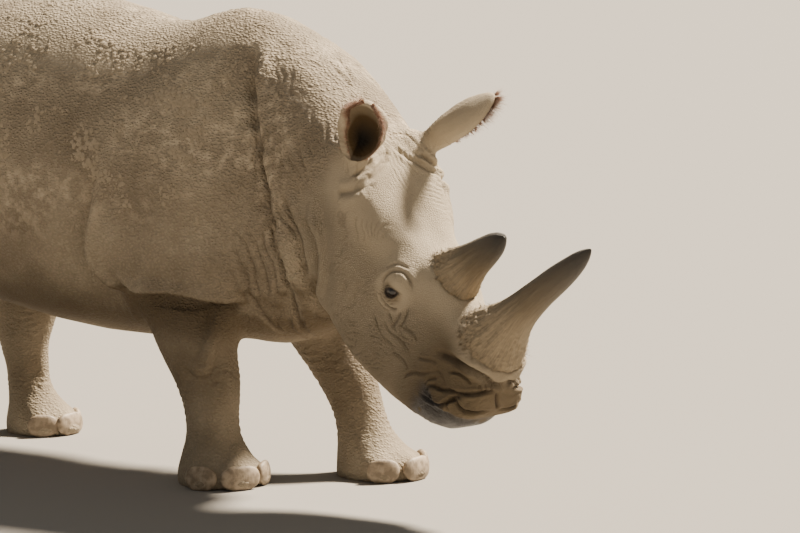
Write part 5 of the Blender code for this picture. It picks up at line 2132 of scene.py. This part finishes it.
@dataclass
class Studio:
    """Floor, light and camera."""

    lamps: tuple[SoftLight, ...] = (
        SoftLight("overhead", (1.5, -3.5, 7.0), (0.2, 0.0, 1.0), 5.0, 25.0, "#fff1df"),
        SoftLight("low fill", (6.0, -8.5, 1.6), (0.6, 0.0, 0.9), 4.0, 12.0, "#ffe9c8"),
    )
    key_way: tuple[float, float, float] = (0.2, 0.66, 0.8)  # towards the key light
    key_strength: float = 20.0
    key_angle: float = 9.0  # degrees that the key light is across
    key_tone: str = "#fff0da"
    floor_width: float = 180.0
    camera_place: tuple[float, float, float] = (8.162, -9.29, 2.15)
    camera_way: tuple[float, float] = (-0.6157, 0.788)  # the way it looks, seen from above
    camera_dip: float = 6.48  # degrees that it looks down
    lens: float = 151.2
    sensor: float = 36.0
    sky: str = "#ece9e4"
    sky_strength: float = 0.31

    def floor(self) -> bpy.types.Object:
        """Makes the floor.

        Returns:
            The floor.
        """
        bm = bmesh.new()
        bmesh.ops.create_grid(bm, x_segments=1, y_segments=1, size=self.floor_width / 2)
        floor = piece_from(bm, "studio_floor")
        floor.data.materials.append(StudioPaper().material())
        return floor

    def world(self) -> None:
        """Sets an even, pale surround."""
        world = bpy.data.worlds.new("studio surround")
        world.use_nodes = True
        background = world.node_tree.nodes["Background"]
        background.inputs["Color"].default_value = linear(self.sky)
        background.inputs["Strength"].default_value = self.sky_strength
        bpy.context.scene.world = world

    def key(self) -> None:
        """Sets the key light, high up behind the animal's left."""
        lamp = bpy.data.lights.new("key", "SUN")
        lamp.energy = self.key_strength
        lamp.angle = math.radians(self.key_angle)
        lamp.color = linear(self.key_tone)[:3]
        stand = linked("key", lamp)
        stand.rotation_mode = "QUATERNION"
        stand.rotation_quaternion = (-Vector(self.key_way)).to_track_quat("-Z", "Y")

    def camera(self) -> None:
        """Sets the camera a little above the eye of the animal, far off to its right front."""
        data = bpy.data.cameras.new("camera")
        data.lens = self.lens
        data.sensor_width = self.sensor
        data.clip_end = 400.0
        camera = linked("camera", data)
        camera.location = self.camera_place
        down = math.tan(math.radians(self.camera_dip))
        camera.rotation_mode = "QUATERNION"
        camera.rotation_quaternion = Vector((*self.camera_way, -down)).to_track_quat("-Z", "Y")
        bpy.context.scene.camera = camera

    def build(self) -> None:
        """Sets up the whole studio."""
        self.floor()
        self.world()
        self.key()
        for lamp in self.lamps:
            lamp.build()
        self.camera()


def report(piece: bpy.types.Object) -> None:
    """Logs a finished piece."""
    log.info("%s: %d faces", piece.name, len(piece.data.polygons))


def main() -> None:
    """Builds the rhinoceros and its studio."""
    logging.basicConfig(level=logging.INFO, format="%(message)s", stream=sys.stdout)
    Studio().build()
    nodes = frame["nodes"]
    hard = ("horn_", "eye_", "nail_", "tail_tuft")
    skin = HideSkin(tuple(sorted(n for n in nodes if not n.startswith(hard)))).build()
    report(skin)
    surface = tree_of(skin.data)
    keratin = HornFibre().material()
    frayed = Bristle("frayed horn fibre", "#7a6c58", "#a4967f").material()
    front, rear = HORN_SEATS
    for horn, fibres in (
        (Horn(*front, 0.62, keratin), 2600), (Horn(*rear, 0.32, keratin, 0.34, groove=0.0042), 1400),
    ):
        made = horn.build()
        report(made)
        fringe = HairPiece(f"{horn.node}_fringe", "horn", frayed, 6)
        report(fringe.build(HornFringe(horn, tree_of(made.data), fibres).locks()))
    report(MudCrust(skin, DriedMud().material()).build())
    nail = NailKeratin().material()
    for node in sorted(n for n in nodes if n.startswith("nail_")):
        report(Toenail(node, nail).build())
    eye = WetEye().material()
    lash = Bristle("eyelash", "#2a1f17", "#3a2c20").material()
    for side in Side:
        report(Eyeball(EyeSocket(side), eye).build())
        lashes = HairPiece(f"lashes_{side.name.lower()}", "hide", lash, 7)
        report(lashes.build(Lashes(EyeSocket(side)).locks()))
    brown = Bristle("ear fringe hair", "#77543f", "#c2a08a").material()
    for ear in EARS:
        fringe = HairPiece(f"{ear.name}_fringe", "hide", brown, 3)
        report(fringe.build(EarFringe(ear, surface).locks()))
    black = Bristle("tail bristle", "#1d1713", "#3b2f26").material()
    brush = HairPiece("tail_brush", "tail_hair", black, 4)
    report(brush.build(TailTuft().locks(), ("tail_tuft",)))


if __name__ == "__main__":
    main()
